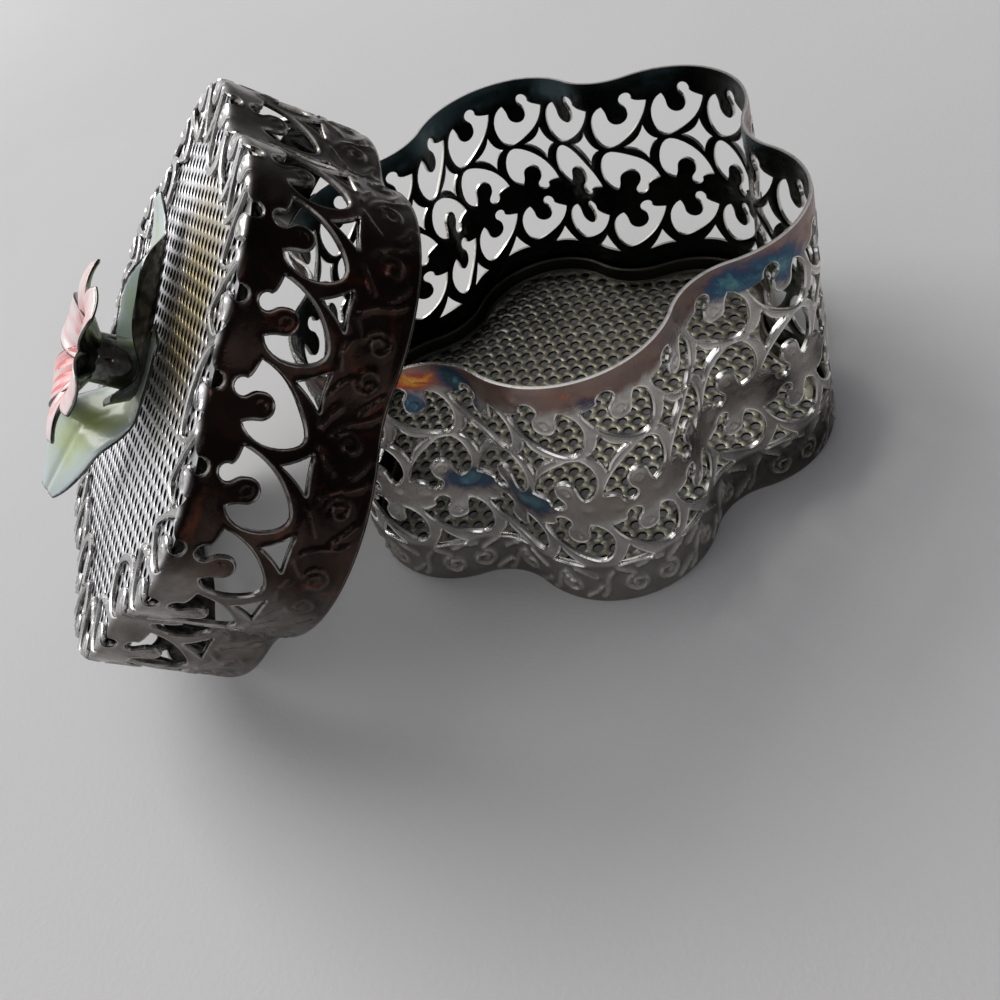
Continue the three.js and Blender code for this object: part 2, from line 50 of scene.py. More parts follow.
SHEET = 0.6
GAP = 0.3
BASE_REACH, BASE_LOBE, BASE_VALLEY, BASE_FLARE, BASE_TURN = 33.0, 12.2, 8.1, 1.0, -28.5
BASE_REPEATS, BASE_SEAM, BASE_SEAM_AT = 25, 4.6, 0.5814
LID_PLAY, LID_LOBE, LID_VALLEY = 0.45, 16.4, 8.6
LID_REPEATS, LID_START = 26, 0.007
BAND, FIRST_ROW, SECOND_ROW, THIRD_ROW, BASE_HEIGHT = 6.9, 12.4, 19.5, 29.4, 34.5
LID_HEIGHT = 18.0
FOLD_ROUND = 0.9
BORDER_TONGUE = 1.5
BORDER_RIB = 0.75
LID_SLIDE, LID_ASIDE, LID_LIFT = -34.594, -8.1, 22.802
LEAN_TILT, LEAN_HEADING, LEAN_SPIN = 44.9, 188.0, -25.2
CRESCENT_DROP = 4.57
LIP, LIP_IN, LIP_WIDTH = 0.12, 0.14, 0.15
OUTER_ROUND, INNER_ROUND = 0.11, 0.08
INNER_RELIEF = 0.55
BASE_BAND_RISE, LID_BAND_RISE, RIDGE_WIDTH = 0.4, 0.26, 0.31
RAIL_RISE, RAIL_WIDTH, LOWER_RAIL, UPPER_RAIL = 0.14, 0.2, 0.45, 0.35
SWIRL_RISE, SWIRL_WIDTH, DOT_RISE, DOT_WIDTH = 0.16, 0.17, 0.12, 0.16
BASE_DENTS, LID_DENTS, MESH_DENTS = 0.07, 0.06, 0.05
FLOOR_LOW, FLOOR_TOP, FLANGE_TOP = 1.0, 1.6, 4.0
FLOOR_PITCH, FLOOR_HOLE, FLOOR_TURN, FLOOR_SAG = 2.1, 0.64, 8, -0.1
MESH_TOP, MESH_SHEET = LID_HEIGHT - SHEET - GAP, 0.35
MESH_PITCH, MESH_HOLE, MESH_TURN, MESH_SAG = 1.85, 0.62, 20, -0.12
ENAMEL_SHEET = 0.45
LEAF_WIDTH = 10.0
CUP_RADIUS, CUP_HEIGHT = 2.7, 2.4
LEAF_SEAT = MESH_TOP + ENAMEL_SHEET + GAP
CUP_SEAT = LEAF_SEAT + 2 * (ENAMEL_SHEET + GAP)
PETALS, PETAL_REACH, PETAL_RISE, PETAL_WIDTH, PETAL_BEND = 6, 10.6, 2.4, 6.4, 4.2


# outlines and strips


class Outline:
    """Six arcs joined by smooth hollows, followed by its length from the middle of the first lobe."""

    def __init__(self, reach, lobe, valley):
        half = math.pi / 6
        self.lobe, self.valley = lobe, valley
        self.lobe_at = reach - lobe
        across = self.lobe_at * math.sin(half)
        self.valley_at = self.lobe_at * math.cos(half) + math.sqrt((lobe + valley) ** 2 - across**2)
        vx, vy = self.valley_at * math.cos(half), self.valley_at * math.sin(half)
        self.lobe_half = math.atan2(vy, vx - self.lobe_at)
        self.valley_half = self.lobe_half - half
        self.lobe_length = 2 * self.lobe_half * lobe
        self.period = self.lobe_length + 2 * self.valley_half * valley
        self.length = 6 * self.period

    def at(self, along):
        along = np.asarray(along, float)
        number = np.floor((along + self.lobe_length / 2) / self.period)
        local = along - number * self.period
        turn = number * math.pi / 3
        middle = turn + math.pi / 6
        hollow = middle + self.valley_half - (local - self.lobe_length / 2) / self.valley
        on_lobe = local <= self.lobe_length / 2
        normal = np.where(on_lobe, local / self.lobe + turn, hollow)
        centre_at = np.where(on_lobe, self.lobe_at, self.valley_at)
        towards = np.where(on_lobe, turn, middle)
        radius = np.where(on_lobe, self.lobe, -self.valley)
        nx, ny = np.cos(normal), np.sin(normal)
        x = centre_at * np.cos(towards) + radius * nx
        y = centre_at * np.sin(towards) + radius * ny
        return x, y, nx, ny


class Strip:
    """A pierced strip bent along an outline, its repeats counted from beside its seam."""

    def __init__(self, outline, count, seam, seam_place):
        self.outline, self.count, self.seam = outline, count, seam
        self.pitch = (outline.length - seam) / count
        self.start = outline.length * seam_place + seam / 2


BASE = Strip(Outline(BASE_REACH, BASE_LOBE, BASE_VALLEY), BASE_REPEATS, BASE_SEAM, BASE_SEAM_AT)
LID = Strip(Outline(BASE_REACH + LID_PLAY + SHEET, LID_LOBE, LID_VALLEY), LID_REPEATS, 0.0, LID_START)


# drawings of the cut-outs, round the middle of a tongue


def arc(cx, cy, radius, from_deg, to_deg, steps):
    angles = np.radians(np.linspace(from_deg, to_deg, steps + 1))
    return [(cx + radius * math.cos(a), cy + radius * math.sin(a)) for a in angles]


def curve(a, b, c, d, steps):
    """A Bezier curve from a to d, without its last point."""
    a, b, c, d = (np.array(p, float) for p in (a, b, c, d))
    points = []
    for k in range(steps):
        t = k / steps
        p = a * (1 - t) ** 3 + 3 * b * t * (1 - t) ** 2 + 3 * c * t * t * (1 - t) + d * t**3
        points.append((p[0], p[1]))
    return points


def crescent():
    """A slanting drop with a pointed tip, a round-ended tongue and a stepped tip, counter-clockwise."""
    tongue, left, right, drop, foot = 1.4, 4.05, 3.6, CRESCENT_DROP, 1.8
    points = curve((-left, 1.0), (-3.55, -0.6), (-2.6, -2.0), (-1.3, -3.0), 6)
    points += curve((-1.3, -3.0), (-0.3, -3.75), (0.9, -4.5), (foot, -drop), 5)
    points += curve((foot, -drop), (3.0, -drop), (right + 0.02, -2.8), (right, -1.4), 6)
    points += curve((right, -1.4), (right, 0.1), (2.7, 1.2), (1.85, 1.5), 5)
    points += curve((1.85, 1.5), (1.6, 1.1), (1.42, 0.5), (tongue, -0.05), 3)
    points += arc(0, 0, tongue, -2, -185, 12)
    points += curve((-tongue, 0.2), (-1.42, 0.9), (-0.95, 1.4), (-0.55, 1.68), 4)[1:]
    points += arc(-1.35, 2.05, 0.78, -25, 200, 9)
    points += curve((-2.08, 1.78), (-2.4, 1.3), (-3.2, 1.15), (-left, 1.0), 4)[1:]
    return fine_loop(widened(np.array(points), 0.06))


def hollow_sided(corners, centre, pull, steps):
    """A polygon whose sides bend towards a point."""
    corners, centre = np.array(corners), np.array(centre)
    points = []
    for a, b in zip(corners, np.roll(corners, -1, axis=0)):
        middle = (a + b) / 2 + 2 * pull * (centre - (a + b) / 2)
        for j in range(steps):
            t = j / steps
            points.append(a * (1 - t) ** 2 + 2 * middle * t * (1 - t) + b * t * t)
    return np.array(points)


def diamond():
    corners = [(-2.98, -2.42), (-4.72, -4.95), (-3.06, -7.6), (-0.02, -4.88)]
    return fine_loop(hollow_sided(corners, (-2.95, -4.95), 0.27, 5))


def triangle():
    return fine_loop(hollow_sided([(-2.9, -2.8), (-4.55, -5.55), (-0.7, -5.55)], (-2.75, -4.7), 0.13, 4))


def fine_loop(loop, step=0.42):
    """A loop with more corners, none further apart than step."""
    points = []
    for a, b in zip(loop, np.roll(loop, -1, axis=0)):
        count = max(1, math.ceil(np.hypot(*(b - a)) / step))
        points.extend(a + (b - a) * k / count for k in range(count))
    return np.array(points)


def widened(loop, by):
    """A loop moved outwards by a distance."""
    tangent = np.roll(loop, -1, axis=0) - np.roll(loop, 1, axis=0)
    tangent /= np.maximum(np.hypot(tangent[:, 0], tangent[:, 1]), 1e-9)[:, None]
    return loop + by * np.stack([tangent[:, 1], -tangent[:, 0]], axis=1)


def placed(points, along, height, mirror=False, over=False):
    """A drawing moved to its place, mirrored or turned over first, and kept counter-clockwise."""
    p = points * [-1 if mirror else 1, -1 if over else 1] + [along, height]
    return p[::-1] if mirror != over else p


# flat triangulation

SEAM_MARK = 100.0  # is added to places in the seam, so that they are told from those in a repeat


def inside(points, loop):
    """Which points lie in a closed loop."""
    x, y = points[:, 0:1], points[:, 1:2]
    ax, ay = loop[:, 0], loop[:, 1]
    bx, by = np.roll(ax, -1), np.roll(ay, -1)
    crosses = (ay > y) != (by > y)
    step = np.where(by == ay, 1e-12, by - ay)
    return ((crosses & (x < ax + (y - ay) * (bx - ax) / step)).sum(axis=1) % 2) == 1


def distance(points, loops, closed=True, within=2.5):
    """Distance from each point to the nearest of several loops, measured near each loop only."""
    best = np.full(len(points), 1e9)
    for loop in loops:
        near = (points > loop.min(0) - within).all(1) & (points < loop.max(0) + within).all(1)
        if not near.any():
            continue
        p = points[near]
        a = loop if closed else loop[:-1]
        b = np.roll(loop, -1, axis=0) if closed else loop[1:]
        ab = b - a
        t = ((p[:, None, :] - a) * ab).sum(2) / np.maximum((ab**2).sum(1), 1e-12)
        nearest = a + np.clip(t, 0, 1)[:, :, None] * ab
        d = np.sqrt(((p[:, None, :] - nearest) ** 2).sum(2)).min(1)
        best[near] = np.minimum(best[near], d)
    return best


def spread(points, least):
    """Leaves out points that lie too near to one before them."""
    cells, kept = {}, []
    for x, y in points:
        key = (int(x // least), int(y // least))
        around = (cells.get((key[0] + i, key[1] + j), ()) for i in (-1, 0, 1) for j in (-1, 0, 1))
        if all((x - a) ** 2 + (y - b) ** 2 >= least * least for group in around for a, b in group):
            cells.setdefault(key, []).append((x, y))
            kept.append((x, y))
    return np.array(kept).reshape(-1, 2)


def facing_up(coords, faces):
    """The triangles among the faces, all turned counter-clockwise, their middles and double areas."""
    faces = np.array([f for f in faces if len(f) == 3])
    a, b, c = (coords[faces[:, k]] for k in range(3))
    area = (b[:, 0] - a[:, 0]) * (c[:, 1] - a[:, 1]) - (b[:, 1] - a[:, 1]) * (c[:, 0] - a[:, 0])
    return np.where(area[:, None] < 0, faces[:, ::-1], faces), (a + b + c) / 3, np.abs(area)


def renumbered(faces, total):
    """Which corners the faces use, and the faces with those corners numbered from nought."""
    used = np.unique(faces)
    number = np.full(total, -1)
    number[used] = np.arange(len(used))
    return used, number[faces]


# Distances between the corners of a flat repeat: rows and edges, the grid, rings round the cut-outs, the
# least distance, and the height below which they are finer.
FINE_ROWS, ROWS, COLUMNS = 0.32, 0.5, 0.4
FINE_GRID, GRID = 0.32, 0.55
RINGS = (0.15, 0.36)
LEAST = 0.2
FINE_TO = BAND + 0.3


def tile(loops, width, top, extra, edge=None):
    """Triangles of one repeat of a strip, its holes left out. It reaches half its width to each side.

    extra holds more points, and edge(u) gives the height of a shaped upper edge."""
    half = width / 2
    heights = [0]
    while heights[-1] < top - LEAST:
        heights.append(min(top, heights[-1] + (FINE_ROWS if heights[-1] < FINE_TO else ROWS)))
    heights[-1] = top
    columns = max(1, round(width / COLUMNS))
    across = np.linspace(-half, half, columns + 1)
    points, edges = [], []

    def chain(line, closed=False):
        first = len(points)
        points.extend((float(x), float(y)) for x, y in line)
        count = len(line)
        edges.extend((first + k, first + (k + 1) % count) for k in range(count if closed else count - 1))

    def limit(places):
        return np.array([edge(x) if edge else top for x in places])

    upper = list(zip(across, limit(across)))
    left = [(-half, h) for h in heights if h <= upper[0][1] + 1e-9]
    if upper[0][1] - left[-1][1] > 1e-6:
        left.append((-half, upper[0][1]))
    right = [(half, h) for _, h in left]
    chain(left)
    chain(right)
    chain([(x, 0) for x in across])
    if edge:
        fine = np.linspace(-half, half, 4 * columns + 1)
        upper = list(zip(fine, limit(fine)))
    chain(upper)
    for loop in loops:
        chain(loop, closed=True)
    grid = []
    for row, h in enumerate(heights[1:-1]):
        count = max(1, round(width / (FINE_GRID if h < FINE_TO else GRID)))
        shift = 0.5 if row % 2 else 0.0
        grid += [(-half + width * (k + shift) / count, h) for k in range(count)]
    rings = [widened(loop, offset) for offset in RINGS for loop in loops]
    free = np.concatenate([*rings, np.array(extra).reshape(-1, 2), np.array(grid)])
    keep = (distance(free, loops) > 0.12) & (np.abs(free[:, 0]) < half - 0.1) & (free[:, 1] > 0.1)
    keep &= free[:, 1] < limit(free[:, 0]) - 0.13
    for loop in loops:
        keep[keep] &= ~inside(free[keep], loop)
    free = spread(free[keep], LEAST)
    points.extend((float(x), float(y)) for x, y in free)
    coords, _, faces, *_ = delaunay_2d_cdt([Vector(p) for p in points], edges, [], 0, 1e-5)
    coords = np.array([tuple(c) for c in coords])
    faces, middle, area = facing_up(coords, faces)
    keep = (area > 1e-7) & (np.abs(middle[:, 0]) < half) & (middle[:, 1] > 0)
    keep &= middle[:, 1] < limit(middle[:, 0])
    for loop in loops:
        keep[keep] &= ~inside(middle[keep], loop)
    used, faces = renumbered(faces[keep], len(coords))
    coords = coords[used]

    def side(x):
        found = np.nonzero(np.abs(coords[:, 0] - x) < 1e-4)[0]
        return found[np.argsort(coords[found, 1])]

    return coords, faces, side(-half), side(half)


def around(strip, repeat, last=None, seam=None):
    """Joins copies of a repeat into one closed strip, with its last repeat and its plain seam.

    Gives each corner's length along the outline, its height, its place in its repeat and the triangles."""
    parts = [(repeat, strip.start + (k + 0.5) * strip.pitch) for k in range(strip.count)]
    if seam:
        parts[-1] = (last, parts[-1][1])
        parts.append((seam, strip.start + strip.count * strip.pitch + strip.seam / 2))
    total = sum(len(p[0][0]) for p in parts)
    merged = np.arange(total)
    along, height, local, faces = [], [], [], []
    offset = 0
    before = None
    for (coords, triangles, left, right), middle in parts:
        along.append(coords[:, 0] + middle)
        height.append(coords[:, 1])
        local.append(coords[:, 0] + (SEAM_MARK if seam and coords is seam[0] else 0.0))
        faces.append(triangles + offset)
        if before is not None:
            if len(before) != len(left):
                raise RuntimeError(f"the repeats don't meet: {len(before)} and {len(left)} corners")
            merged[left + offset] = before
        before = right + offset
        offset += len(coords)
    merged[before] = parts[0][0][2]
    along, height, local = np.concatenate(along), np.concatenate(height), np.concatenate(local)
    used, faces = renumbered(merged[np.concatenate(faces)], total)
    return along[used], height[used], local[used], faces


# meshes


def make_object(name, points, faces, attributes, smooth_deg=38):
    mesh = bpy.data.meshes.new(name)
    mesh.from_pydata((points * MM).tolist(), [], faces)
    mesh.update()
    for key, values in attributes.items():
        layer = mesh.attributes.new(key, "FLOAT", "POINT")
        layer.data.foreach_set("value", np.asarray(values, np.float32))
    mesh.polygons.foreach_set("use_smooth", [True] * len(mesh.polygons))
    mesh.set_sharp_from_angle(angle=math.radians(smooth_deg))
    obj = bpy.data.objects.new(name, mesh)
    bpy.context.scene.collection.objects.link(obj)
    return obj


def shell_faces(triangles, count):
    """Faces of a sheet from its outer triangles: the inner side, and a wall along every open edge."""
    edges = np.concatenate([triangles[:, [0, 1]], triangles[:, [1, 2]], triangles[:, [2, 0]]])
    forward = {(int(a), int(b)) for a, b in edges}
    faces = triangles.tolist() + (triangles[:, ::-1] + count).tolist()
    for a, b in forward:
        if (b, a) not in forward:
            faces.append([b, a, a + count, b + count])
    return faces


def smoothstep(low, high, x):
    t = np.clip((x - low) / (high - low), 0, 1)
    return t * t * (3 - 2 * t)


def spiral(cx, cy, radius, from_deg, turns, steps=18):
    """A line that winds inwards from its outer end; turns below zero wind clockwise."""
    points = []
    for k in range(steps + 1):
        t = k / steps
        angle = math.radians(from_deg + 360 * turns * t)
        r = radius * (1 - 0.72 * t)
        points.append((cx + r * math.cos(angle), cy + r * math.sin(angle)))
    return points


def band_lines(pitch):
    """Raised scrolls of the embossed band: three repeats wide, between its lower edge and its top."""
    lines = [
        spiral(2.3, 3.1, 1.55, 100, 1.35),
        spiral(5.9, 3.1, 1.55, 80, -1.35),
        [(0.3, 6.2), (1.2, 5.6), (2.0, 4.9)],
        [(2.6, 5.9), (4.1, 6.4), (5.6, 5.9)],
        [(6.2, 4.9), (7.2, 5.7), (8.3, 6.3)],
        [(7.2, 1.0), (8.2, 1.7), (9.3, 2.6)],
        curve((9.0, 0.9), (10.2, 1.5), (10.0, 4.6), (11.9, 5.2), 8) + [(11.9, 5.2)],
        spiral(12.4, 3.3, 1.35, 100, 1.3),
        [(9.2, 5.0), (10.2, 5.8), (11.3, 6.4)],
        [(13.6, 1.0), (14.7, 1.7), (15.6, 2.6)],
        [(13.3, 6.3), (14.5, 5.6), (15.6, 4.7)],
        curve((15.8, 1.0), (17.2, 1.3), (16.6, 4.4), (18.4, 5.3), 8) + [(18.4, 5.3)],
        spiral(19.0, 3.2, 1.4, 100, 1.3),
        [(20.3, 1.1), (21.4, 1.9), (22.4, 3.0)],
        [(19.6, 6.2), (20.9, 5.5), (22.0, 4.8)],
        curve((22.2, 1.2), (23.4, 2.0), (22.7, 4.4), (24.1, 5.6), 7) + [(24.1, 5.6)],
    ]
    period = 3 * pitch
    scale = period / 24.4
    return period, [np.array(line) * [scale, 1] for line in lines]


def band_relief(along, height, pitch, mirror, rise):
    """Height of the band's raised lines, and of the plain rail along its lower and its upper edge."""
    period, lines = band_lines(pitch)
    result = np.zeros(len(along))
    low = height < BAND + 0.6
    u = np.mod(along[low] * (-1 if mirror else 1), period)
    shifted = [np.stack([u + shift, height[low]], axis=1) for shift in (-period, 0, period)]
    d = np.minimum.reduce([distance(points, lines, closed=False) for points in shifted])
    ridge = np.exp(-((d / RIDGE_WIDTH) ** 2))
    inside_band = smoothstep(0.2, 0.7, height[low]) * (1 - smoothstep(BAND - 0.5, BAND - 0.1, height[low]))
    result[low] = rise * ridge * inside_band
    lower_rail = np.exp(-(((height[low] - LOWER_RAIL) / (1.1 * RAIL_WIDTH)) ** 2))
    upper_rail = 0.8 * np.exp(-(((height[low] - BAND + UPPER_RAIL) / RAIL_WIDTH) ** 2))
    result[low] += RAIL_RISE * (lower_rail + upper_rail)
    return result


def swirl_relief(u, v, places):
    """Small stamped curls: a raised ring with a dot in it. places holds (u, v, radius)."""
    result = np.zeros(len(u))
    for x, y, r in places:
        rho = np.hypot(u - x, v - y)
        angle = np.arctan2(v - y, u - x)
        ring = np.exp(-(((rho - r * (1 + 0.09 * angle)) / SWIRL_WIDTH) ** 2))
        result += SWIRL_RISE * ring + DOT_RISE * np.exp(-((rho / DOT_WIDTH) ** 2))
    return result


def swirl_points(places):
    return [
        (x + r * f * math.cos(a), y + r * f * math.sin(a))
        for x, y, r in places
        for f, n in ((0.0, 1), (0.5, 7), (0.95, 12), (1.35, 14))
        for a in np.linspace(0, 2 * math.pi, n, endpoint=False)
    ]


def rounded_edge(d, radius):
    """How far the surface drops at a distance d from a cut edge."""
    t = np.clip(1 - d / radius, 0, 1)
    return radius * (1 - np.sqrt(np.maximum(0, 1 - t * t)))


def lip(d):
    """A rounded burr along each cut edge, with the sheet a little sunk behind it."""
    return LIP * np.exp(-(((d - LIP_IN) / LIP_WIDTH) ** 2))


def soft_noise(x, y, z, seed):
    """Slow waves that stand in for dents and uneven bending, between -1 and 1."""
    rng = np.random.default_rng(seed)
    total = np.zeros(len(x))
    for _ in range(7):
        k = rng.normal(size=3)
        k *= rng.uniform(0.12, 0.45) / np.linalg.norm(k)
        total += np.sin(k[0] * x + k[1] * y + k[2] * z + rng.uniform(0, 6.28))
    return total / 4


# how each strip is bent


def base_flare(height):
    """How much wider the base is at a height than at its rim."""
    return 1 + BASE_FLARE / BASE_REACH * (1 - height / BASE_HEIGHT)


def base_bend(along, height, depth):
    x, y, nx, ny = BASE.outline.at(along)
    grow = base_flare(height)
    return np.stack([(x + nx * depth) * grow, (y + ny * depth) * grow, height], axis=1)


BEND_START = LID_HEIGHT - FOLD_ROUND
BEND_END = BEND_START + FOLD_ROUND * math.sqrt(2)
FOLD_MIDDLE = (BEND_START + BEND_END) / 2


def lid_bend(along, height, depth):
    x, y, nx, ny = LID.outline.at(along)
    angle = np.clip((height - BEND_START) / (BEND_END - BEND_START), 0, 1) * math.pi / 2
    over = np.maximum(0, height - BEND_END)
    radius = FOLD_ROUND + depth
    inwards = FOLD_ROUND - radius * np.cos(angle) + over
    z = np.minimum(height, BEND_START) + radius * np.sin(angle)
    return np.stack([x - nx * inwards, y - ny * inwards, z], axis=1)


base_low, base_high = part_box("base_wall")
BASE_MIDDLE = (base_low + base_high) / 2 / MM
TURN = math.radians(BASE_TURN)
LEAN = (
    Quaternion((0, 0, 1), math.radians(LEAN_HEADING))
    @ Quaternion((0, 1, 0), math.radians(LEAN_TILT))
    @ Quaternion((0, 0, 1), math.radians(LEAN_SPIN))
)
LEAN_MATRIX = np.array(LEAN.to_matrix())


def in_base(points):
    c, s = math.cos(TURN), math.sin(TURN)
    x = points[:, 0] * c - points[:, 1] * s + BASE_MIDDLE.x
    y = points[:, 0] * s + points[:, 1] * c + BASE_MIDDLE.y
    return np.stack([x, y, points[:, 2]], axis=1)


def in_lid(points):
    origin = np.array([BASE_MIDDLE.x + LID_SLIDE, BASE_MIDDLE.y + LID_ASIDE, LID_LIFT])
    return points @ LEAN_MATRIX.T + origin


# the base's wall


def spots(u, v, places):
    """Soft patches of tarnish. places holds (u, v, reach along, reach up, strength)."""
    total = np.zeros(len(u))
    for x, y, along, up, strength in places:
        total += strength * np.exp(-(((u - x) / along) ** 2) - (((v - y) / up) ** 2))
    return np.clip(total, 0, 1)


# Patches are placed by u, which runs from 0 to ROUND along the base's outline, and by height.
ROUND = 3000
HEAT_PATCHES = [(2206, 32.6, 42, 1.6, 1.0), (2150, 32.8, 30, 1.3, 0.8), (2466, 33.2, 44, 0.9, 0.5)]
BLUE_PATCHES = [
    (2184, 29.9, 26, 1.8, 0.9),
    (2262, 32.9, 30, 1.6, 0.8),
    (2284, 30.6, 24, 2.0, 0.85),
    (2225, 17.4, 52, 1.9, 1.0),
    (2345, 16.9, 52, 2.2, 0.95),
    (2500, 31.6, 44, 1.2, 0.55),
    (2808, 32.2, 60, 2.0, 0.85),
    (2900, 31.0, 50, 2.6, 0.75),
    (40, 30.5, 50, 2.5, 0.6),
    (2060, 31.0, 50, 2.4, 0.7),
]
DARK_PATCHES = [
    (2650, 17.4, 70, 2.4, 0.75),
    (2790, 17.6, 50, 2.4, 0.7),
    (2862, 15.6, 34, 4.2, 1.0),
    (2740, 32.5, 70, 2.6, 0.35),
    (2980, 15.8, 40, 4.0, 0.9),
    (100, 16, 60, 4, 0.8),
    (2820, 3.5, 150, 4.5, 0.65),
    (2990, 3.5, 120, 4.5, 0.7),
    (150, 3.5, 120, 4.5, 0.7),
    (2860, 31.8, 40, 2.0, 0.5),
]
PATCHES = {"heat_tint": HEAT_PATCHES, "blue": BLUE_PATCHES, "dark": DARK_PATCHES}


def cutouts(shapes, middles, half, reach=1.5):
    """The cut-outs near a stretch of strip that reaches half to each side, from drawings at the middles."""
    loops = [placed(points, m, h, mirror, over) for m in middles for points, h, mirror, over in shapes]
    return [loop for loop in loops if loop[:, 0].max() > -half - reach and loop[:, 0].min() < half + reach]


def bent_sheet(name, bend, place, along, height, relief, edge, wave, triangles, values):
    """One piece from a flat, triangulated strip: its relief, its thickness and its bend."""
    outer = relief - LIP - rounded_edge(edge, OUTER_ROUND) + wave
    inner = -SHEET + INNER_RELIEF * (relief - LIP) + rounded_edge(edge, INNER_ROUND) + wave
    points = np.concatenate([bend(along, height, outer), bend(along, height, inner)])
    values = {"edge_mm": edge, "up_mm": height, "raised": relief, **values}
    attributes = {key: np.tile(value, 2) for key, value in values.items()}
    attributes["within"] = np.repeat([0.0, 1.0], len(along))
    return make_object(name, place(points), shell_faces(triangles, len(along)), attributes)


def make_base_wall():
    shapes = [
        (triangle(), FIRST_ROW, False, False),
        (crescent(), FIRST_ROW, False, False),
        (crescent(), SECOND_ROW, False, True),
        (diamond(), THIRD_ROW, False, False),
        (crescent(), THIRD_ROW, False, False),
    ]
    swirls = [(0.0, FIRST_ROW + 0.1, 0.62), (0.0, SECOND_ROW - 0.1, 0.62), (0.0, THIRD_ROW + 0.1, 0.62)]
    swirls += [(-2.9, FIRST_ROW + 3.5, 0.34), (1.9, SECOND_ROW - 3.2, 0.34), (-2.9, THIRD_ROW + 3.2, 0.34)]
    pitch = BASE.pitch
    loops = cutouts(shapes, (-pitch, 0, pitch), pitch / 2)
    repeat = tile(loops, pitch, BASE_HEIGHT, swirl_points(swirls))
    last = tile(cutouts(shapes, (-pitch, 0), pitch / 2), pitch, BASE_HEIGHT, swirl_points(swirls))
    beside = [side * ((pitch + BASE.seam) / 2 + k * pitch) for side in (-1, 1) for k in (0, 1)]
    lap = cutouts(shapes, beside, BASE.seam / 2)
    seam = tile(lap, BASE.seam, BASE_HEIGHT, ())
    along, height, local, triangles = around(BASE, repeat, last, seam)
    everywhere = loops + [loop + [SEAM_MARK, 0] for loop in lap]
    d = distance(np.stack([local, height], axis=1), everywhere)
    edge = np.minimum(np.minimum(d, BASE_HEIGHT - height), height + 0.02)
    relief = lip(d) + swirl_relief(local, height, swirls) * smoothstep(0.1, 0.35, d)
    relief += band_relief(along, height, pitch, False, BASE_BAND_RISE)
    wave = soft_noise(along * 0.8, height, along * 0, seed=3) * BASE_DENTS
    u = np.mod(along / BASE.outline.length * ROUND, ROUND)
    patches = {name: spots(u, height, places) for name, places in PATCHES.items()}
    return bent_sheet(
        "base_wall_sheet", base_bend, in_base, along, height, relief, edge, wave, triangles, patches
    )


# the lid's wall and border


def border_edge(drawing, pitch):
    """Upper edge of the lid's strip: it keeps an even rib round each border crescent."""
    samples = np.concatenate([drawing + [k * pitch, 0] for k in (-2, -1, 0, 1, 2)])

    def edge(u):
        gap = np.abs(samples[:, 0] - u)
        near = gap < BORDER_RIB
        if not near.any():
            return FOLD_MIDDLE + 3.4
        high = (samples[near, 1] + np.sqrt(BORDER_RIB**2 - gap[near] ** 2)).max()
        return max(high, FOLD_MIDDLE + 3.4)

    return edge


def make_lid_wall():
    tongue_at = FOLD_MIDDLE + BORDER_TONGUE
    shapes = [
        (triangle(), FIRST_ROW, True, False),
        (crescent(), FIRST_ROW, True, False),
        (crescent(), tongue_at, True, True),
    ]
    pitch = LID.pitch
    swirls = [(0.0, FIRST_ROW + 0.1, 0.6), (0.0, tongue_at - 0.1, 0.6)]
    loops = cutouts(shapes, (-pitch, 0, pitch), pitch / 2)
    edge_at = border_edge(placed(crescent(), 0, tongue_at, True, True), pitch)
    top = tongue_at + CRESCENT_DROP + BORDER_RIB + 0.1
    repeat = tile(loops, pitch, top, swirl_points(swirls), edge_at)
    along, height, local, triangles = around(LID, repeat)
    d = distance(np.stack([local, height], axis=1), loops)
    upper = np.array([edge_at(u) for u in local])
    edge = np.maximum(np.minimum(np.minimum(d, (upper - height) * 0.8), height + 0.02), 0)
    folded = smoothstep(BEND_START - 1, BEND_START, height)
    relief = lip(np.minimum(d, np.maximum(upper - height, 0))) * (1 - 0.6 * folded)
    relief += swirl_relief(local, height, swirls) * smoothstep(0.1, 0.35, d)
    relief += band_relief(along, height, pitch, True, LID_BAND_RISE)
    wave = soft_noise(along * 0.8, height, along * 0, seed=8) * LID_DENTS
    wave *= 1 - smoothstep(BEND_START - 2, BEND_START, height)
    share = {"u_share": np.mod(along / LID.outline.length, 1)}
    return bent_sheet("lid_wall_sheet", lid_bend, in_lid, along, height, relief, edge, wave, triangles, share)


# perforated sheets


def perforated(outline, inset, grow, pitch, radius, turn_deg):
    """Rim of a flat sheet, and the middles of the round holes that stand in rows within it."""
    x, y, nx, ny = outline.at(np.linspace(0, outline.length, 361)[:-1])
    rim = np.stack([(x - nx * inset) * grow, (y - ny * inset) * grow], axis=1)
    reach = np.hypot(rim[:, 0], rim[:, 1]).max()
    c, s = math.cos(math.radians(turn_deg)), math.sin(math.radians(turn_deg))
    middles = []
    row_pitch = pitch * 0.866
    rows = int(reach / row_pitch) + 1
    columns = int(reach / pitch) + 1
    for row in range(-rows, rows + 1):
        for column in range(-columns, columns + 1):
            a, b = (column + 0.5 * (row % 2)) * pitch, row * row_pitch
            middles.append((a * c - b * s, a * s + b * c))
    middles = np.array(middles)
    return rim, middles[inside(middles, rim) & (distance(middles, [rim]) > radius + 0.35)]


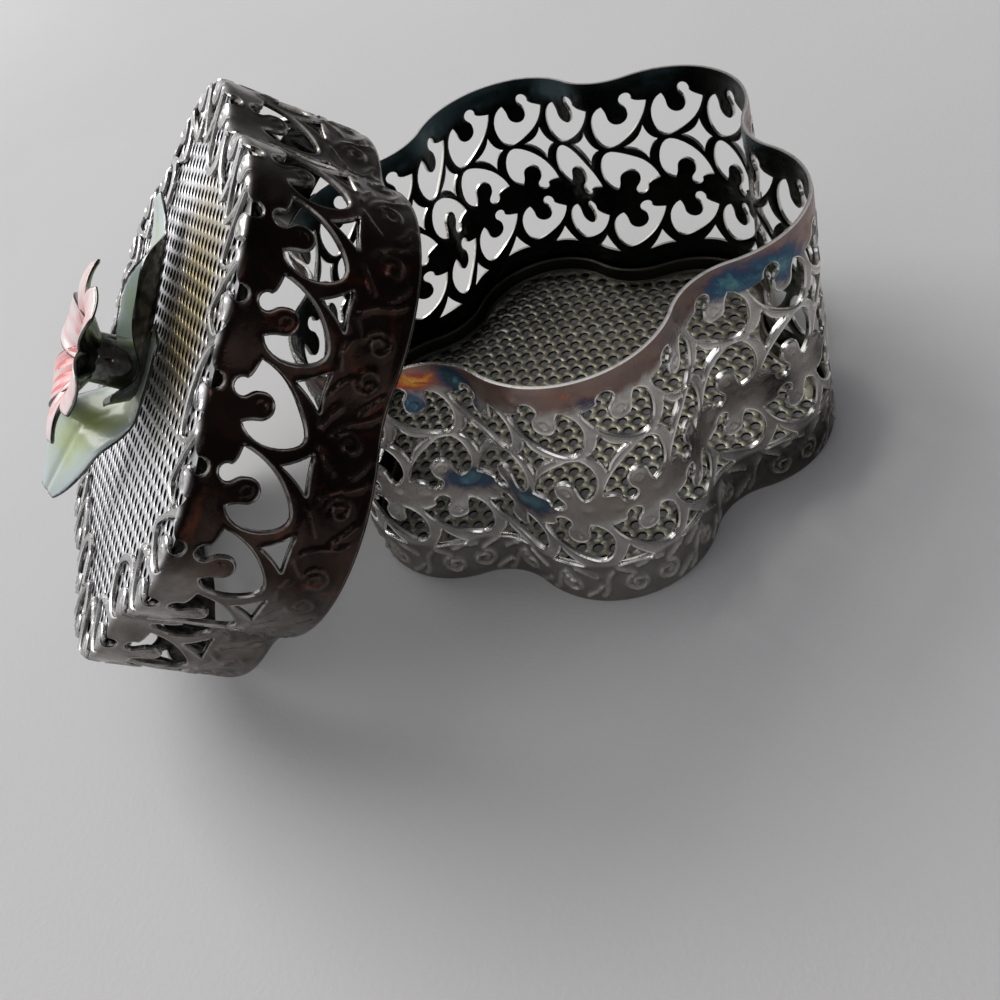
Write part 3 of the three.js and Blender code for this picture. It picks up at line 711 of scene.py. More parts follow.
def perforated_mesh(outline, inset, grow, pitch, radius, turn_deg, low, high, sag, bevel=0.07, sides=10):
    """Points, faces and depth share of a perforated sheet, its holes' edges slightly rounded."""
    rim, middles = perforated(outline, inset, grow, pitch, radius, turn_deg)
    angles = 2 * math.pi * (np.arange(sides) + 0.5) / sides
    ring = np.stack([np.cos(angles), np.sin(angles)], axis=1)
    points = [tuple(p) for p in rim]
    edges = [(k, (k + 1) % len(rim)) for k in range(len(rim))]
    for m in middles:
        first = len(points)
        points.extend((m[0] + (radius + bevel) * a, m[1] + (radius + bevel) * b) for a, b in ring)
        edges.extend((first + k, first + (k + 1) % sides) for k in range(sides))
    coords, _, faces, origins, *_ = delaunay_2d_cdt([Vector(p) for p in points], edges, [], 0, 1e-6)
    coords = np.array([tuple(p) for p in coords])
    group = np.full(len(coords), -1)
    for k, source in enumerate(origins):
        if source and source[0] >= len(rim):
            group[k] = (source[0] - len(rim)) // sides
    faces, middle, _ = facing_up(coords, faces)
    g = group[faces]
    hole = (g[:, 0] >= 0) & (g[:, 0] == g[:, 1]) & (g[:, 1] == g[:, 2])
    faces = faces[~hole & inside(middle, rim)]
    directed = set()
    for f in faces:
        directed.update(((int(f[0]), int(f[1])), (int(f[1]), int(f[2])), (int(f[2]), int(f[0]))))
    count = len(coords)
    centre = np.where(group[:, None] >= 0, middles[np.maximum(group, 0)], coords)
    shrink = radius / (radius + bevel)
    narrow = np.where(group[:, None] >= 0, centre + (coords - centre) * shrink, coords)

    def lift(flat):
        x, y = flat[:, 0], flat[:, 1]
        sunk = sag * (np.cos(np.clip(np.hypot(x, y) / 30, 0, 1) * math.pi) - 1) / 2
        return sunk + MESH_DENTS * soft_noise(x * 1.5, y * 1.5, x * 0, seed=21)

    layers = ((coords, high), (narrow, high - bevel), (narrow, low + bevel), (coords, low))
    points = np.concatenate([np.column_stack([flat, z + lift(flat)]) for flat, z in layers])
    out = faces.tolist() + (faces[:, ::-1] + 3 * count).tolist()
    for a, b in directed:
        if (b, a) in directed:
            continue
        for level in range(3):
            above, below = level * count, (level + 1) * count
            out.append([b + above, a + above, a + below, b + below])
    return points, out, np.repeat([0.0, 0.5, 1.0, 1.0], count)


def ring_faces(rows, steps, closed):
    """Faces between rows of corners that each run round a ring; closed joins the last row to the first."""
    faces = []
    for j in range(rows if closed else rows - 1):
        here, above = j * steps, (j + 1) % rows * steps
        for k in range(steps):
            after = (k + 1) % steps
            faces.append([here + k, here + after, above + after, above + k])
    return faces


def swept_ring(outline, profile, grow, steps=360):
    """A closed ring whose section, a loop of (inset, height), follows an outline."""
    x, y, nx, ny = outline.at(np.linspace(0, outline.length, steps + 1)[:-1])
    rows = []
    for inset, height in profile:
        g = grow(height)
        rows.append(np.stack([(x - nx * inset) * g, (y - ny * inset) * g, np.full(steps, height)], axis=1))
    return np.concatenate(rows), ring_faces(len(profile), steps, True)


def merged(*parts):
    """Joins pairs of points and faces into one pair."""
    points, faces, offset = [], [], 0
    for p, f in parts:
        points.append(p)
        faces.extend([[i + offset for i in face] for face in f])
        offset += len(p)
    return np.concatenate(points), faces


def make_floor():
    low, high, rim = FLOOR_LOW, FLOOR_TOP, FLANGE_TOP
    edge = SHEET + GAP
    holes = (FLOOR_PITCH, FLOOR_HOLE, FLOOR_TURN)
    *plate, within = perforated_mesh(
        BASE.outline, edge + SHEET * 0.5, base_flare(low), *holes, low + 0.2, high, FLOOR_SAG
    )
    profile = [(edge + 0.12, low), (edge, low + 0.15), (edge, rim - 0.15), (edge + 0.15, rim)]
    inner = edge + SHEET
    profile += [(edge + 0.4, rim - 0.05), (inner, rim - 0.3), (inner, high + 0.35), (inner + 0.4, high)]
    profile += [(inner + 0.4, low)]
    ring = swept_ring(BASE.outline, profile[::-1], base_flare)
    points, faces = merged(plate, ring)
    centre = np.hypot(points[:, 0] - 9, points[:, 1] - 4)
    # the whole flange ring takes the underside's painted shade
    within = np.concatenate([within, np.ones(len(points) - len(within))])
    attributes = {"from_middle": centre, "within": within}
    return make_object("base_floor_sheet", in_base(points), faces, attributes, 50)


def make_lid_mesh():
    holes = (MESH_PITCH, MESH_HOLE, MESH_TURN)
    points, faces, within = perforated_mesh(
        LID.outline, SHEET + GAP, 1.0, *holes, MESH_TOP - MESH_SHEET, MESH_TOP, MESH_SAG
    )
    centre = np.hypot(points[:, 0] + 15, points[:, 1] + 1)
    attributes = {"from_middle": centre, "within": within}
    return make_object("lid_mesh_sheet", in_lid(points), faces, attributes, 50)


# leaves and flower


def curved_sheet(surface, along, across, thickness, edge_mm):
    """A curved sheet with rounded edges. surface(s, t) gives points, edge_mm(s, t) the way to its rim."""
    s, t = np.meshgrid(np.linspace(0, 1, along), np.linspace(0, 1, across), indexing="ij")
    s, t = s.ravel(), t.ravel()
    small = 1e-3
    sc, tc = np.clip(s, small, 1 - small), np.clip(t, small, 1 - small)
    ds = surface(sc + small, tc) - surface(sc - small, tc)
    dt = surface(sc, tc + small) - surface(sc, tc - small)
    normal = np.cross(ds, dt)
    normal /= np.maximum(np.linalg.norm(normal, axis=1), 1e-12)[:, None]
    rim = edge_mm(s, t)
    share = np.clip(rim / (thickness * 0.6), 0, 1)
    thick = thickness * (0.45 + 0.55 * np.sqrt(1 - (1 - share) ** 2))
    middle = surface(s, t)
    points = np.concatenate([middle + normal * thick[:, None] / 2, middle - normal * thick[:, None] / 2])
    count = along * across
    faces = []
    for i in range(along - 1):
        for j in range(across - 1):
            a, b = i * across + j, (i + 1) * across + j
            faces.append([a, b, b + 1, a + 1])
            faces.append([a + count, a + 1 + count, b + 1 + count, b + count])
    ring = [i * across for i in range(along - 1)] + [(along - 1) * across + j for j in range(across - 1)]
    ring += [i * across + across - 1 for i in range(along - 1, 0, -1)] + list(range(across - 1, 0, -1))
    for k, a in enumerate(ring):
        b = ring[(k + 1) % len(ring)]
        faces.append([b, a, a + count, b + count])
    side = np.concatenate([np.ones(count), np.zeros(count)])
    return points, faces, side, np.tile(rim, 2), np.tile(s, 2), np.tile(t, 2)


def make_leaf(name, reach, heading, seat, rim_height, roll, lift):
    """A pointed leaf. rim_height turns up its root's rim, roll tilts it and lift(s) raises it outwards."""
    root = LEAF_WIDTH / 2
    flat = CUP_RADIUS + ENAMEL_SHEET / 2 + 2 * GAP
    length = reach + root

    def half_width(s):
        return LEAF_WIDTH / 2 * np.maximum(np.sin(math.pi * (0.1 + 0.85 * s)), 0.02) ** 0.7

    def surface(s, t):
        along = -root + length * s
        across = (2 * t - 1) * half_width(s)
        curl = rim_height * smoothstep(flat, root, np.hypot(np.minimum(along, 0), across))
        free = smoothstep(flat, 3 * flat, along)
        vein = 0.16 * np.exp(-((across / 0.4) ** 2)) * free
        ripple = 0.14 * np.sin(9 * s + 2.5 * np.abs(2 * t - 1)) * free * np.abs(2 * t - 1)
        z = seat + (lift(s) + roll * across) * free + curl - vein + ripple
        c, sn = math.cos(math.radians(heading)), math.sin(math.radians(heading))
        return np.stack([along * c - across * sn, along * sn + across * c, z], axis=1)

    def rim(s, t):
        return np.minimum((1 - np.abs(2 * t - 1)) * half_width(s), np.minimum(s, 1 - s) * length)

    points, faces, side, edge, s, t = curved_sheet(surface, 64, 25, ENAMEL_SHEET, rim)
    attributes = {"side": side, "edge_mm": edge, "root_share": s, "off_vein": np.abs(2 * t - 1)}
    return make_object(name, in_lid(points), faces, attributes, 60)


# How coral each petal is and how far its tip turns up.
PETAL_LOOKS = ((1.0, 0.0), (0.35, 0.3), (0.5, 0.1), (0.4, 0.2), (0.3, -0.2), (0.15, 0.1))


def petal_point(s, t, heading, turn_up):
    """Points of a petal: a claw that stands in the cup, then a blade that spreads outwards."""
    flare = PETAL_REACH - CUP_RADIUS
    along = (CUP_HEIGHT - ENAMEL_SHEET) * (1 - s) + (PETAL_BEND + flare) * s
    opened = np.maximum(0, along - PETAL_BEND) / flare
    bend = smoothstep(CUP_HEIGHT, PETAL_BEND + CUP_RADIUS / 2, along)
    radius = CUP_RADIUS + flare * opened * bend
    blade = np.sqrt(np.maximum(np.sin(math.pi * (0.2 + 0.66 * opened)), 0.01))
    claw = CUP_RADIUS * math.pi / PETALS - GAP / 2
    half = claw * (1 - bend) + PETAL_WIDTH / 2 * blade * bend
    q = 2 * t - 1
    z = np.minimum(along, PETAL_BEND) + PETAL_RISE * np.sin(0.72 * math.pi * opened) + turn_up * opened**3
    z = z + 0.28 * bend * (q * q - 0.3) - 0.12 * bend * np.cos(q * math.pi * 3) * (1 - opened)
    angle = heading + q * half / radius
    return np.stack([radius * np.cos(angle), radius * np.sin(angle), CUP_SEAT + z], axis=1)


def make_cup(steps=48):
    """Points and faces of the round cup that holds the petals."""
    cup, high = CUP_RADIUS, CUP_HEIGHT
    profile = [(0.0, -0.22), (cup, -0.22), (cup + 0.28, 0.0), (cup + 0.27, high * 0.5), (cup + 0.29, high)]
    profile += [(cup, high + 0.1), (cup - 0.28, high), (cup - 0.29, 0.5), (cup - 0.5, 0.24), (0.0, 0.24)]
    angles = 2 * math.pi * np.arange(steps) / steps
    x, y = np.cos(angles), np.sin(angles)
    rings = [np.stack([r * x, r * y, np.full(steps, CUP_SEAT + z)], axis=1) for r, z in profile]
    return np.concatenate(rings), ring_faces(len(profile), steps, False)


def make_flower():
    groups = []
    for number, (coral, turn_up) in enumerate(PETAL_LOOKS):

        def surface(s, t, heading=2 * math.pi / PETALS * number, turn_up=turn_up):
            return petal_point(s, t, heading, turn_up)

        def rim(s, t):
            return np.minimum((1 - np.abs(2 * t - 1)) * PETAL_WIDTH / 2, (1 - s) * 10)

        points, faces, side, edge, s, t = curved_sheet(surface, 36, 19, ENAMEL_SHEET, rim)
        groups.append((points, faces, side, edge, s, t, np.full(len(points), coral)))

    points, faces = make_cup()
    n = len(points)
    groups.append((points, faces, np.zeros(n), np.ones(n), np.zeros(n), np.full(n, 0.5), np.full(n, 0.6)))
    points, faces = merged(*(group[:2] for group in groups))

    def pick(index):
        return np.concatenate([group[index] for group in groups])

    attributes = {
        "side": pick(2),
        "edge_mm": pick(3),
        "root_share": pick(4),
        "off_vein": np.abs(2 * pick(5) - 1),
        "coral": pick(6),
    }
    return make_object("flower_sheet", in_lid(points), faces, attributes, 60)


# materials


def fill_ramp(elements, stops):
    while len(elements) < len(stops):
        elements.new(0.5)
    for element, (position, color) in zip(elements, stops):
        element.position = position
        element.color = (*color, 1)


class Nodes:
    """Short names for building one material's nodes."""

    def __init__(self, name):
        self.material = bpy.data.materials.new(name)
        self.material.use_nodes = True
        self.tree = self.material.node_tree
        self.tree.nodes.clear()
        self.output = self.tree.nodes.new("ShaderNodeOutputMaterial")
        self.shader = self.tree.nodes.new("ShaderNodeBsdfPrincipled")
        self.tree.links.new(self.shader.outputs["BSDF"], self.output.inputs["Surface"])
        self.place = self.tree.nodes.new("ShaderNodeTexCoord").outputs["Object"]

    def put(self, socket, value):
        if isinstance(value, bpy.types.NodeSocket):
            self.tree.links.new(value, socket)
        elif isinstance(value, (tuple, list)) and len(value) == 3 and len(socket.default_value) == 4:
            socket.default_value = (*value, 1)
        else:
            socket.default_value = value

    def attributes(self, *names):
        nodes = [self.tree.nodes.new("ShaderNodeAttribute") for _ in names]
        for node, name in zip(nodes, names):
            node.attribute_name = name
        return [node.outputs["Fac"] for node in nodes]

    def noise(self, scale, detail, rough, distort=0.0):
        node = self.tree.nodes.new("ShaderNodeTexNoise")
        self.put(node.inputs["Vector"], self.place)
        values = {"Scale": scale, "Detail": detail, "Roughness": rough, "Distortion": distort}
        for key, value in values.items():
            node.inputs[key].default_value = value
        return node.outputs["Fac"]

    def math(self, kind, a, b=0.0, clamp=False):
        node = self.tree.nodes.new("ShaderNodeMath")
        node.operation = kind
        node.use_clamp = clamp
        self.put(node.inputs[0], a)
        self.put(node.inputs[1], b)
        return node.outputs[0]

    def times(self, a, b):
        return self.math("MULTIPLY", a, b)

    def plus(self, a, b, clamp=False):
        return self.math("ADD", a, b, clamp)

    def minus(self, a, b, clamp=False):
        return self.math("SUBTRACT", a, b, clamp)

    def sway(self, value, amount):
        """A value round a half, turned into one round nought."""
        return self.times(self.minus(value, 0.5), amount)

    def band(self, value, low, high, out_low=0.0, out_high=1.0):
        node = self.tree.nodes.new("ShaderNodeMapRange")
        node.interpolation_type = "SMOOTHSTEP"
        self.put(node.inputs["Value"], value)
        for key, number in (("From Min", low), ("From Max", high), ("To Min", out_low), ("To Max", out_high)):
            node.inputs[key].default_value = number
        return node.outputs["Result"]

    def ramp(self, value, stops):
        node = self.tree.nodes.new("ShaderNodeValToRGB")
        self.put(node.inputs["Fac"], value)
        fill_ramp(node.color_ramp.elements, stops)
        return node.outputs["Color"]

    def mix(self, factor, a, b):
        node = self.tree.nodes.new("ShaderNodeMix")
        node.data_type = "RGBA"
        for index, value in ((0, factor), (6, a), (7, b)):
            self.put(node.inputs[index], value)
        return node.outputs[2]

    def bump(self, height, strength, distance_m, normal=None):
        node = self.tree.nodes.new("ShaderNodeBump")
        self.put(node.inputs["Height"], height)
        node.inputs["Strength"].default_value = strength
        node.inputs["Distance"].default_value = distance_m
        if normal is not None:
            self.put(node.inputs["Normal"], normal)
        return node.outputs["Normal"]

    def set(self, **values):
        names = {"color": "Base Color", "metal": "Metallic", "rough": "Roughness", "normal": "Normal"}
        names.update({"coat": "Coat Weight", "coat_rough": "Coat Roughness"})
        for key, value in values.items():
            self.put(self.shader.inputs[names[key]], value)
        return self.material


def worn_metal_bump(n, strength=0.13):
    grain = n.noise(2600, 4, 0.6)
    pits = n.band(n.noise(900, 3, 0.55), 0.56, 0.66)
    dents = n.noise(120, 2, 0.5)
    fine = n.bump(n.plus(grain, n.times(pits, -0.8)), strength, 0.00010)
    return n.bump(dents, 0.3, 0.0005, fine)


def edge_wear_and_highlight_share(n, edge, raised, bright_edge_reach):
    """Where a cut edge and the raised lip beside it are painted bright: their real wear, and a painted
    highlight.
    """
    beside = n.times(n.band(edge, 0.36, 0.24), n.band(raised, 0.04, 0.1))
    return n.math("MAXIMUM", n.band(edge, bright_edge_reach, 0.02), beside)


def base_metal():
    n = Nodes("tarnished_strip")
    edge, up, within = n.attributes("edge_mm", "up_mm", "within")
    raised, heat, blue, dark = n.attributes("raised", "heat_tint", "blue", "dark")
    clouds = n.noise(95, 5, 0.62, 0.6)
    broad = n.noise(42, 3, 0.55, 0.8)
    fine = n.noise(700, 4, 0.6)
    wander = n.sway(n.noise(260, 6, 0.7, 1.6), 1.9)
    color = n.ramp(clouds, [(0.3, (0.27, 0.25, 0.23)), (0.5, (0.5, 0.475, 0.44)), (0.72, (0.74, 0.72, 0.69))])
    height = n.plus(up, n.times(wander, 1.6))
    middle = n.times(n.band(height, 13.4, 15.2), n.band(height, 21.0, 18.6))
    color = n.mix(n.times(middle, 0.6), color, (0.3, 0.245, 0.21))
    brown = n.ramp(broad, [
        (0.35, (0.11, 0.065, 0.06)), (0.5, (0.24, 0.13, 0.095)),
        (0.65, (0.2, 0.15, 0.15)),
    ])
    color = n.mix(n.times(n.band(height, 30.4, 32.0), 0.85), color, brown)
    in_band = n.band(up, BAND + 0.2, BAND - 0.4)
    grime = n.times(in_band, n.band(raised, 0.26, 0.06))
    color = n.mix(n.times(in_band, 0.35), color, (0.3, 0.275, 0.24))
    color = n.mix(n.times(grime, 0.5), color, (0.08, 0.07, 0.06))
    patch = n.plus(dark, n.times(wander, dark), clamp=True)
    color = n.mix(n.times(patch, 0.93), color, (0.018, 0.015, 0.014))
    tone = n.plus(n.times(blue, 0.85), n.times(wander, 0.7))
    cool = [
        (0.12, (0.14, 0.05, 0.08)), (0.32, (0.035, 0.045, 0.12)),
        (0.58, (0.03, 0.1, 0.17)), (0.9, (0.13, 0.3, 0.34)),
    ]
    mask = n.band(n.plus(blue, n.times(wander, 0.55)), 0.2, 0.62)
    color = n.mix(n.times(mask, 0.9), color, n.ramp(tone, cool))
    tone = n.plus(n.times(heat, 0.55), wander)
    warm = [
        (0.12, (0.16, 0.04, 0.12)), (0.36, (0.5, 0.07, 0.03)),
        (0.56, (0.8, 0.25, 0.03)), (0.8, (0.9, 0.58, 0.14)),
    ]
    mask = n.band(n.plus(heat, n.times(wander, 0.7)), 0.3, 0.8)
    mask = n.times(mask, n.band(heat, 0.2, 1.0, 0.3, 0.8))
    color = n.mix(mask, color, n.ramp(tone, warm))
    # painted highlight: cut edges and lips are painted near white over their real wear, less in the dark
    # patches
    edge_wear_and_highlight = edge_wear_and_highlight_share(n, edge, raised, 0.1)
    edge_wear_and_highlight = n.times(edge_wear_and_highlight, n.band(fine, 0.28, 0.5, 0.6, 1.0))
    edge_wear_and_highlight = n.times(edge_wear_and_highlight, n.minus(1.0, n.times(dark, 0.6)))
    color = n.mix(n.times(edge_wear_and_highlight, 0.9), color, (0.86, 0.84, 0.79))
    # painted highlight along the crests of the band's raised lines
    crest_highlight = n.times(in_band, n.band(raised, 0.24, 0.4))
    color = n.mix(n.times(crest_highlight, n.band(fine, 0.35, 0.6, 0.2, 0.7)), color, (0.5, 0.47, 0.42))
    # painted shade: the inner side of the wall is painted near black, with teal tarnish near the rim
    inner = n.ramp(clouds, [
        (0.35, (0.010, 0.011, 0.010)), (0.6, (0.026, 0.031, 0.028)),
        (0.8, (0.016, 0.034, 0.037)),
    ])
    teal = n.times(n.band(height, 30.6, 32.6), n.band(broad, 0.42, 0.62))
    inner = n.mix(n.times(teal, 0.8), inner, (0.075, 0.12, 0.14))
    color = n.mix(n.times(within, n.band(edge, 0.02, 0.12, 0.55, 1.0)), color, inner)
    rough = n.band(clouds, 0.3, 0.75, 0.34, 0.22)
    rough = n.plus(rough, n.sway(fine, 0.2))
    rough = n.plus(rough, n.times(in_band, 0.08))
    rough = n.minus(rough, n.times(edge_wear_and_highlight, 0.12), clamp=True)
    return n.set(color=color, metal=1.0, rough=rough, normal=worn_metal_bump(n))


def lid_metal():
    n = Nodes("lid_strip")
    edge, up, within, raised, share = n.attributes("edge_mm", "up_mm", "within", "raised", "u_share")
    clouds = n.noise(90, 5, 0.62, 0.7)
    fine = n.noise(650, 4, 0.6)
    wander = n.minus(n.noise(60, 4, 0.55, 0.5), 0.5)
    color = n.ramp(clouds, [
        (0.3, (0.014, 0.010, 0.009)), (0.52, (0.034, 0.023, 0.019)),
        (0.75, (0.085, 0.055, 0.045)),
    ])
    rust = n.band(n.noise(260, 4, 0.65, 1.0), 0.54, 0.7)
    color = n.mix(n.times(rust, 0.55), color, (0.12, 0.035, 0.02))
    # painted reflection: the skirt is painted grey away from one dark stretch, where its lobes face up and
    # down
    away = n.plus(n.math("ABSOLUTE", n.minus(share, 0.42)), n.times(wander, 0.1))
    painted_reflection_grey = n.ramp(clouds, [
        (0.3, (0.07, 0.063, 0.058)), (0.52, (0.17, 0.155, 0.14)),
        (0.75, (0.34, 0.32, 0.3)),
    ])
    color = n.mix(n.band(away, 0.075, 0.125, 0.0, 0.85), color, painted_reflection_grey)
    # painted light: the folded top border, which faces the light, is painted pale silver
    on_top = n.band(up, BEND_START + 0.2, BEND_END)
    bright = n.ramp(clouds, [
        (0.3, (0.3, 0.29, 0.29)), (0.55, (0.55, 0.55, 0.56)),
        (0.78, (0.68, 0.66, 0.73)),
    ])
    color = n.mix(n.times(on_top, 0.9), color, bright)
    # painted highlight: cut edges and lips are painted pale over their real wear, most on the lit top border
    edge_wear_and_highlight = edge_wear_and_highlight_share(n, edge, raised, 0.09)
    edge_wear_and_highlight = n.times(edge_wear_and_highlight, n.band(fine, 0.3, 0.55, 0.2, 1.0))
    edge_wear_and_highlight = n.times(edge_wear_and_highlight, n.plus(0.32, n.times(on_top, 0.6)))
    color = n.mix(edge_wear_and_highlight, color, (0.8, 0.78, 0.74))
    in_band = n.band(up, BAND + 0.2, BAND - 0.4)
    lines = n.times(in_band, n.band(raised, 0.12, 0.26))
    color = n.mix(n.times(lines, 0.35), color, (0.15, 0.11, 0.09))
    # painted shade: the inner side of the skirt is painted near black
    inner = n.ramp(clouds, [(0.35, (0.012, 0.012, 0.012)), (0.7, (0.04, 0.04, 0.037))])
    color = n.mix(n.times(within, n.band(edge, 0.02, 0.12, 0.6, 1.0)), color, inner)
    rough = n.band(clouds, 0.3, 0.75, 0.27, 0.18)
    rough = n.plus(rough, n.sway(fine, 0.2), clamp=True)
    return n.set(color=color, metal=1.0, rough=rough, normal=worn_metal_bump(n, 0.12))


def mesh_metal(name, middle, outer, reach, rough_to, shade_below):
    n = Nodes(name)
    away, within = n.attributes("from_middle", "within")
    clouds = n.noise(110, 5, 0.6, 0.5)
    fine = n.noise(900, 3, 0.55)
    share = n.band(n.plus(away, n.sway(clouds, 18)), *reach)
    color = n.mix(share, middle, outer)
    color = n.mix(n.band(clouds, 0.52, 0.75, 0.0, 0.5), color, (0.09, 0.08, 0.06))
    color = n.mix(n.band(fine, 0.55, 0.75, 0.0, 0.45), color, (0.75, 0.73, 0.68))
    # painted shade: the hole walls and the underside are painted near black
    color = n.mix(n.band(within, 0.1, 0.5), color, shade_below)
    rough = n.plus(n.band(clouds, 0.3, 0.7, rough_to, 0.26), n.times(fine, 0.08))
    return n.set(color=color, metal=1.0, rough=rough, normal=worn_metal_bump(n, 0.2))


def enamel(name, coat_color):
    """Glossy enamel on the upper side, dark bare metal below and along the rim."""
    n = Nodes(name)
    side, edge = n.attributes("side", "edge_mm")
    ripple = n.noise(420, 3, 0.5, 0.4)
    fine = n.noise(1800, 3, 0.6)
    color, chips = coat_color(n, ripple)
    bare = n.ramp(n.noise(200, 4, 0.6), [(0.35, (0.03, 0.03, 0.027)), (0.7, (0.2, 0.2, 0.185))])
    reach = n.plus(edge, n.sway(n.noise(700, 4, 0.6), 0.3))
    coated = n.times(n.band(side, 0.4, 0.6), n.band(reach, 0.08, 0.2))
    coated = n.times(coated, n.minus(1.0, chips))
    color = n.mix(coated, bare, color)
    metal = n.minus(1.0, coated)
    rough = n.plus(n.band(coated, 0, 1, 0.14, 0.26), n.times(fine, 0.12))
    wave = n.bump(n.plus(n.times(coated, 0.6), n.times(ripple, 0.7)), 0.35, 0.0003)
    normal = n.bump(fine, 0.12, 0.00008, wave)
    gloss = n.times(coated, 0.25)
    return n.set(color=color, metal=metal, rough=rough, normal=normal, coat=gloss, coat_rough=0.08)


def leaf_color(n, ripple):
    off, along = n.attributes("off_vein", "root_share")
    share = n.plus(off, n.sway(ripple, 0.7))
    green = [
        (0.1, (0.36, 0.44, 0.17)), (0.45, (0.44, 0.53, 0.27)),
        (0.8, (0.45, 0.54, 0.46)), (1.0, (0.5, 0.58, 0.6)),
    ]
    pale = n.band(n.plus(along, n.times(ripple, 0.3)), 0.75, 1.1)
    color = n.mix(n.times(pale, 0.8), n.ramp(share, green), (0.45, 0.52, 0.56))
    chips = n.band(n.noise(520, 4, 0.7, 0.5), 0.69, 0.74)
    return color, chips


def petal_color(n, ripple):
    off, share, coral = n.attributes("off_vein", "root_share", "coral")
    stripes = n.band(n.math("COSINE", n.times(off, 12.0)), -0.2, 0.8)
    amount = n.times(n.band(share, 0.95, 0.25), n.plus(0.25, stripes))
    uneven = n.sway(ripple, 0.5)
    amount = n.plus(n.times(amount, coral), uneven, clamp=True)
    red = [
        (0.0, (0.7, 0.58, 0.58)), (0.16, (0.72, 0.36, 0.36)),
        (0.45, (0.7, 0.11, 0.1)), (1.0, (0.55, 0.04, 0.04)),
    ]
    chips = n.band(n.noise(600, 4, 0.7, 0.5), 0.68, 0.73)
    return n.ramp(amount, red), chips


# pieces

base_wall = make_base_wall()
base_floor = make_floor()
lid_wall = make_lid_wall()
lid_mesh = make_lid_mesh()
upper_seat = LEAF_SEAT + ENAMEL_SHEET + GAP
leaf_upper = make_leaf("leaf_upper_sheet", 20.5, 250, upper_seat, 2.4, 0, lambda s: 1.6 * s**6)
leaf_lower = make_leaf("leaf_lower_sheet", 19.5, 30, LEAF_SEAT, 0, -0.45, lambda s: 6.0 * np.sqrt(s))
flower = make_flower()

leaf_enamel = enamel("leaf_enamel", leaf_color)
# the floor mesh runs from olive in its middle to a darker olive towards its rim
olive, rim_olive, floor_shade_below = (0.23, 0.22, 0.17), (0.13, 0.125, 0.1), (0.035, 0.033, 0.027)
gold, silver, lid_mesh_shade_below = (0.25, 0.2, 0.1), (0.7, 0.7, 0.73), (0.02, 0.02, 0.018)
floor_metal = mesh_metal("floor_mesh", olive, rim_olive, (8, 30), 0.5, floor_shade_below)
top_metal = mesh_metal("top_mesh", gold, silver, (4, 19), 0.34, lid_mesh_shade_below)
for piece, node, slot, material in (
    (base_wall, "base_wall", "tarnished_strip", base_metal()),
    (base_floor, "base_floor", "floor_mesh", floor_metal),
    (lid_wall, "lid_wall", "lid_strip", lid_metal()),
    (lid_mesh, "lid_mesh", "top_mesh", top_metal),
    (leaf_upper, "leaf_upper", "leaf_enamel", leaf_enamel),
    (leaf_lower, "leaf_lower", "leaf_enamel", leaf_enamel),
    (flower, "flower_corolla", "flower_enamel", enamel("flower_enamel", petal_color)),
):
    piece.data.materials.append(material)
    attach(piece, "root")
    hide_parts(node)


# floor, light and camera


def make_table():
    mesh = bpy.data.meshes.new("table")
    mesh.from_pydata([(-2, -2, 0), (2, -2, 0), (2, 2, 0), (-2, 2, 0)], [], [(0, 1, 2, 3)])
    table = bpy.data.objects.new("table", mesh)
    bpy.context.scene.collection.objects.link(table)
    n = Nodes("table_paper")
    shade = n.noise(9, 4, 0.5)
    color = n.ramp(shade, [(0.3, (0.52, 0.517, 0.525)), (0.7, (0.56, 0.557, 0.565))])
    normal = n.bump(n.noise(1500, 3, 0.6), 0.2, 0.0002)
    mesh.materials.append(n.set(color=color, metal=0.0, rough=0.85, normal=normal))


def area_light(name, place, target, size, power, color):
    data = bpy.data.lights.new(name, "AREA")
    data.shape = "RECTANGLE"
    data.size, data.size_y = size
    data.energy = power
    data.color = color
    light = bpy.data.objects.new(name, data)
    light.location = place
    light.rotation_mode = "QUATERNION"
    light.rotation_quaternion = (Vector(target) - Vector(place)).to_track_quat("-Z", "Y")
    bpy.context.scene.collection.objects.link(light)


make_table()
area_light("window", (-0.75, 0.75, 0.85), (0, 0, 0.02), (0.9, 0.7), 13, (1.0, 0.985, 0.96))
area_light("fill", (0.25, -1.0, 1.0), (0, 0, 0.02), (0.9, 0.5), 1.6, (0.93, 0.96, 1.0))


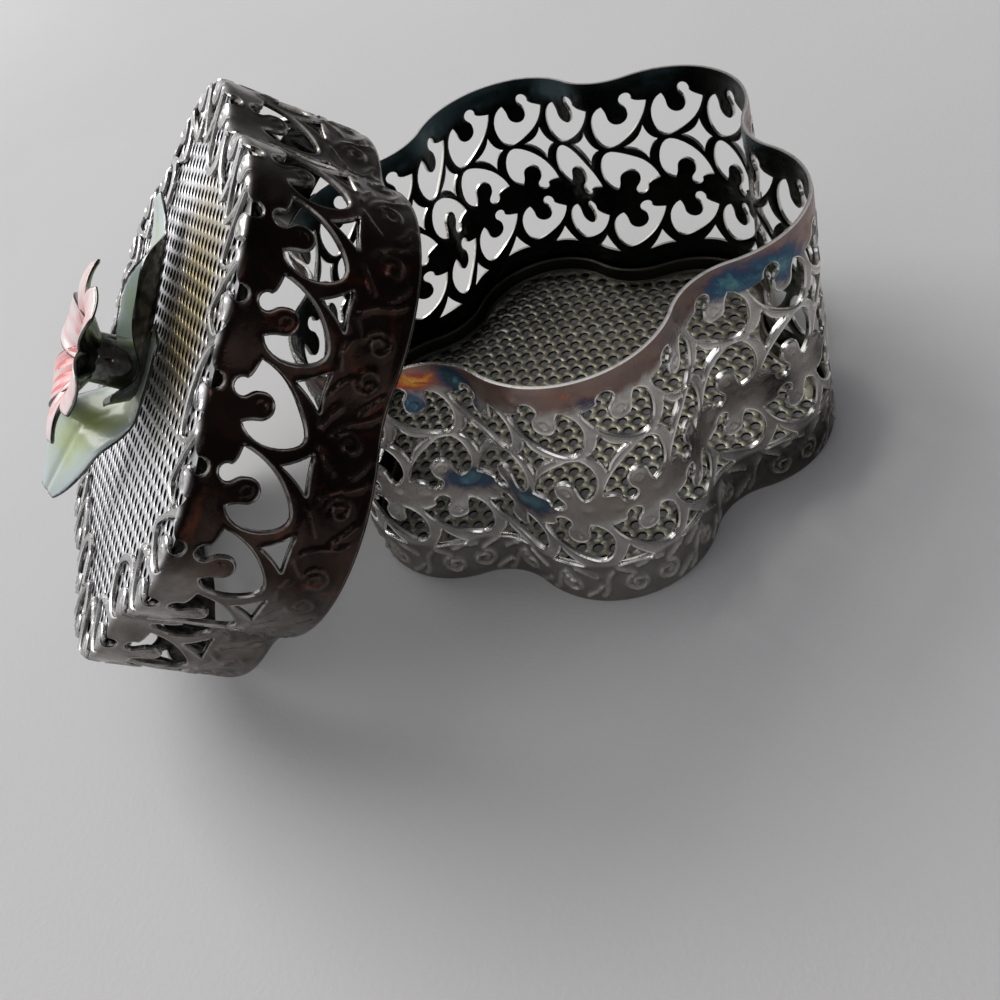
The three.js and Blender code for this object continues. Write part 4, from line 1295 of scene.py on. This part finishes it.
def make_world():
    """A dim room with one wide bright side at the upper left."""
    world = bpy.data.worlds.new("studio")
    world.use_nodes = True
    tree = world.node_tree
    direction = tree.nodes.new("ShaderNodeTexCoord").outputs["Generated"]
    dot = tree.nodes.new("ShaderNodeVectorMath")
    dot.operation = "DOT_PRODUCT"
    tree.links.new(direction, dot.inputs[0])
    dot.inputs[1].default_value = Vector((-0.72, 0.42, 0.55)).normalized()
    ramp = tree.nodes.new("ShaderNodeValToRGB")
    tree.links.new(dot.outputs["Value"], ramp.inputs["Fac"])
    stops = [
        (0.0, (0.10, 0.10, 0.105)), (0.35, (0.28, 0.28, 0.29)),
        (0.62, (0.7, 0.7, 0.72)), (0.85, (1.5, 1.5, 1.48)),
    ]
    fill_ramp(ramp.color_ramp.elements, stops)
    background = tree.nodes["Background"]
    tree.links.new(ramp.outputs["Color"], background.inputs["Color"])
    background.inputs["Strength"].default_value = 0.8
    bpy.context.scene.world = world


make_world()


def make_camera():
    """The photograph's view: away is in lengths of the base's reach, the angles are degrees."""
    elevation, away, across, down, roll = 42.92, 4.463, -5.86, 3.34, 16.62
    e = math.radians(elevation)
    z = Vector((0, -math.cos(e), math.sin(e)))
    x = Vector((1, 0, 0))
    axes = Matrix((x, z.cross(x), z))
    turn = (
        Matrix.Rotation(math.radians(roll), 3, "Z")
        @ Matrix.Rotation(math.radians(down), 3, "X")
        @ Matrix.Rotation(math.radians(across), 3, "Y")
    )
    data = bpy.data.cameras.new("camera")
    data.sensor_width = 36
    data.lens = 37.1
    data.clip_start = 0.005
    camera = bpy.data.objects.new("camera", data)
    camera.rotation_mode = "QUATERNION"
    camera.rotation_quaternion = (turn @ axes).transposed().to_quaternion()
    camera.location = z * (away * BASE_REACH * MM) + Vector((BASE_MIDDLE.x * MM, BASE_MIDDLE.y * MM, 0))
    bpy.context.scene.collection.objects.link(camera)
    bpy.context.scene.camera = camera


make_camera()
bpy.context.scene.view_settings.view_transform = "Standard"

bpy.context.view_layer.update()
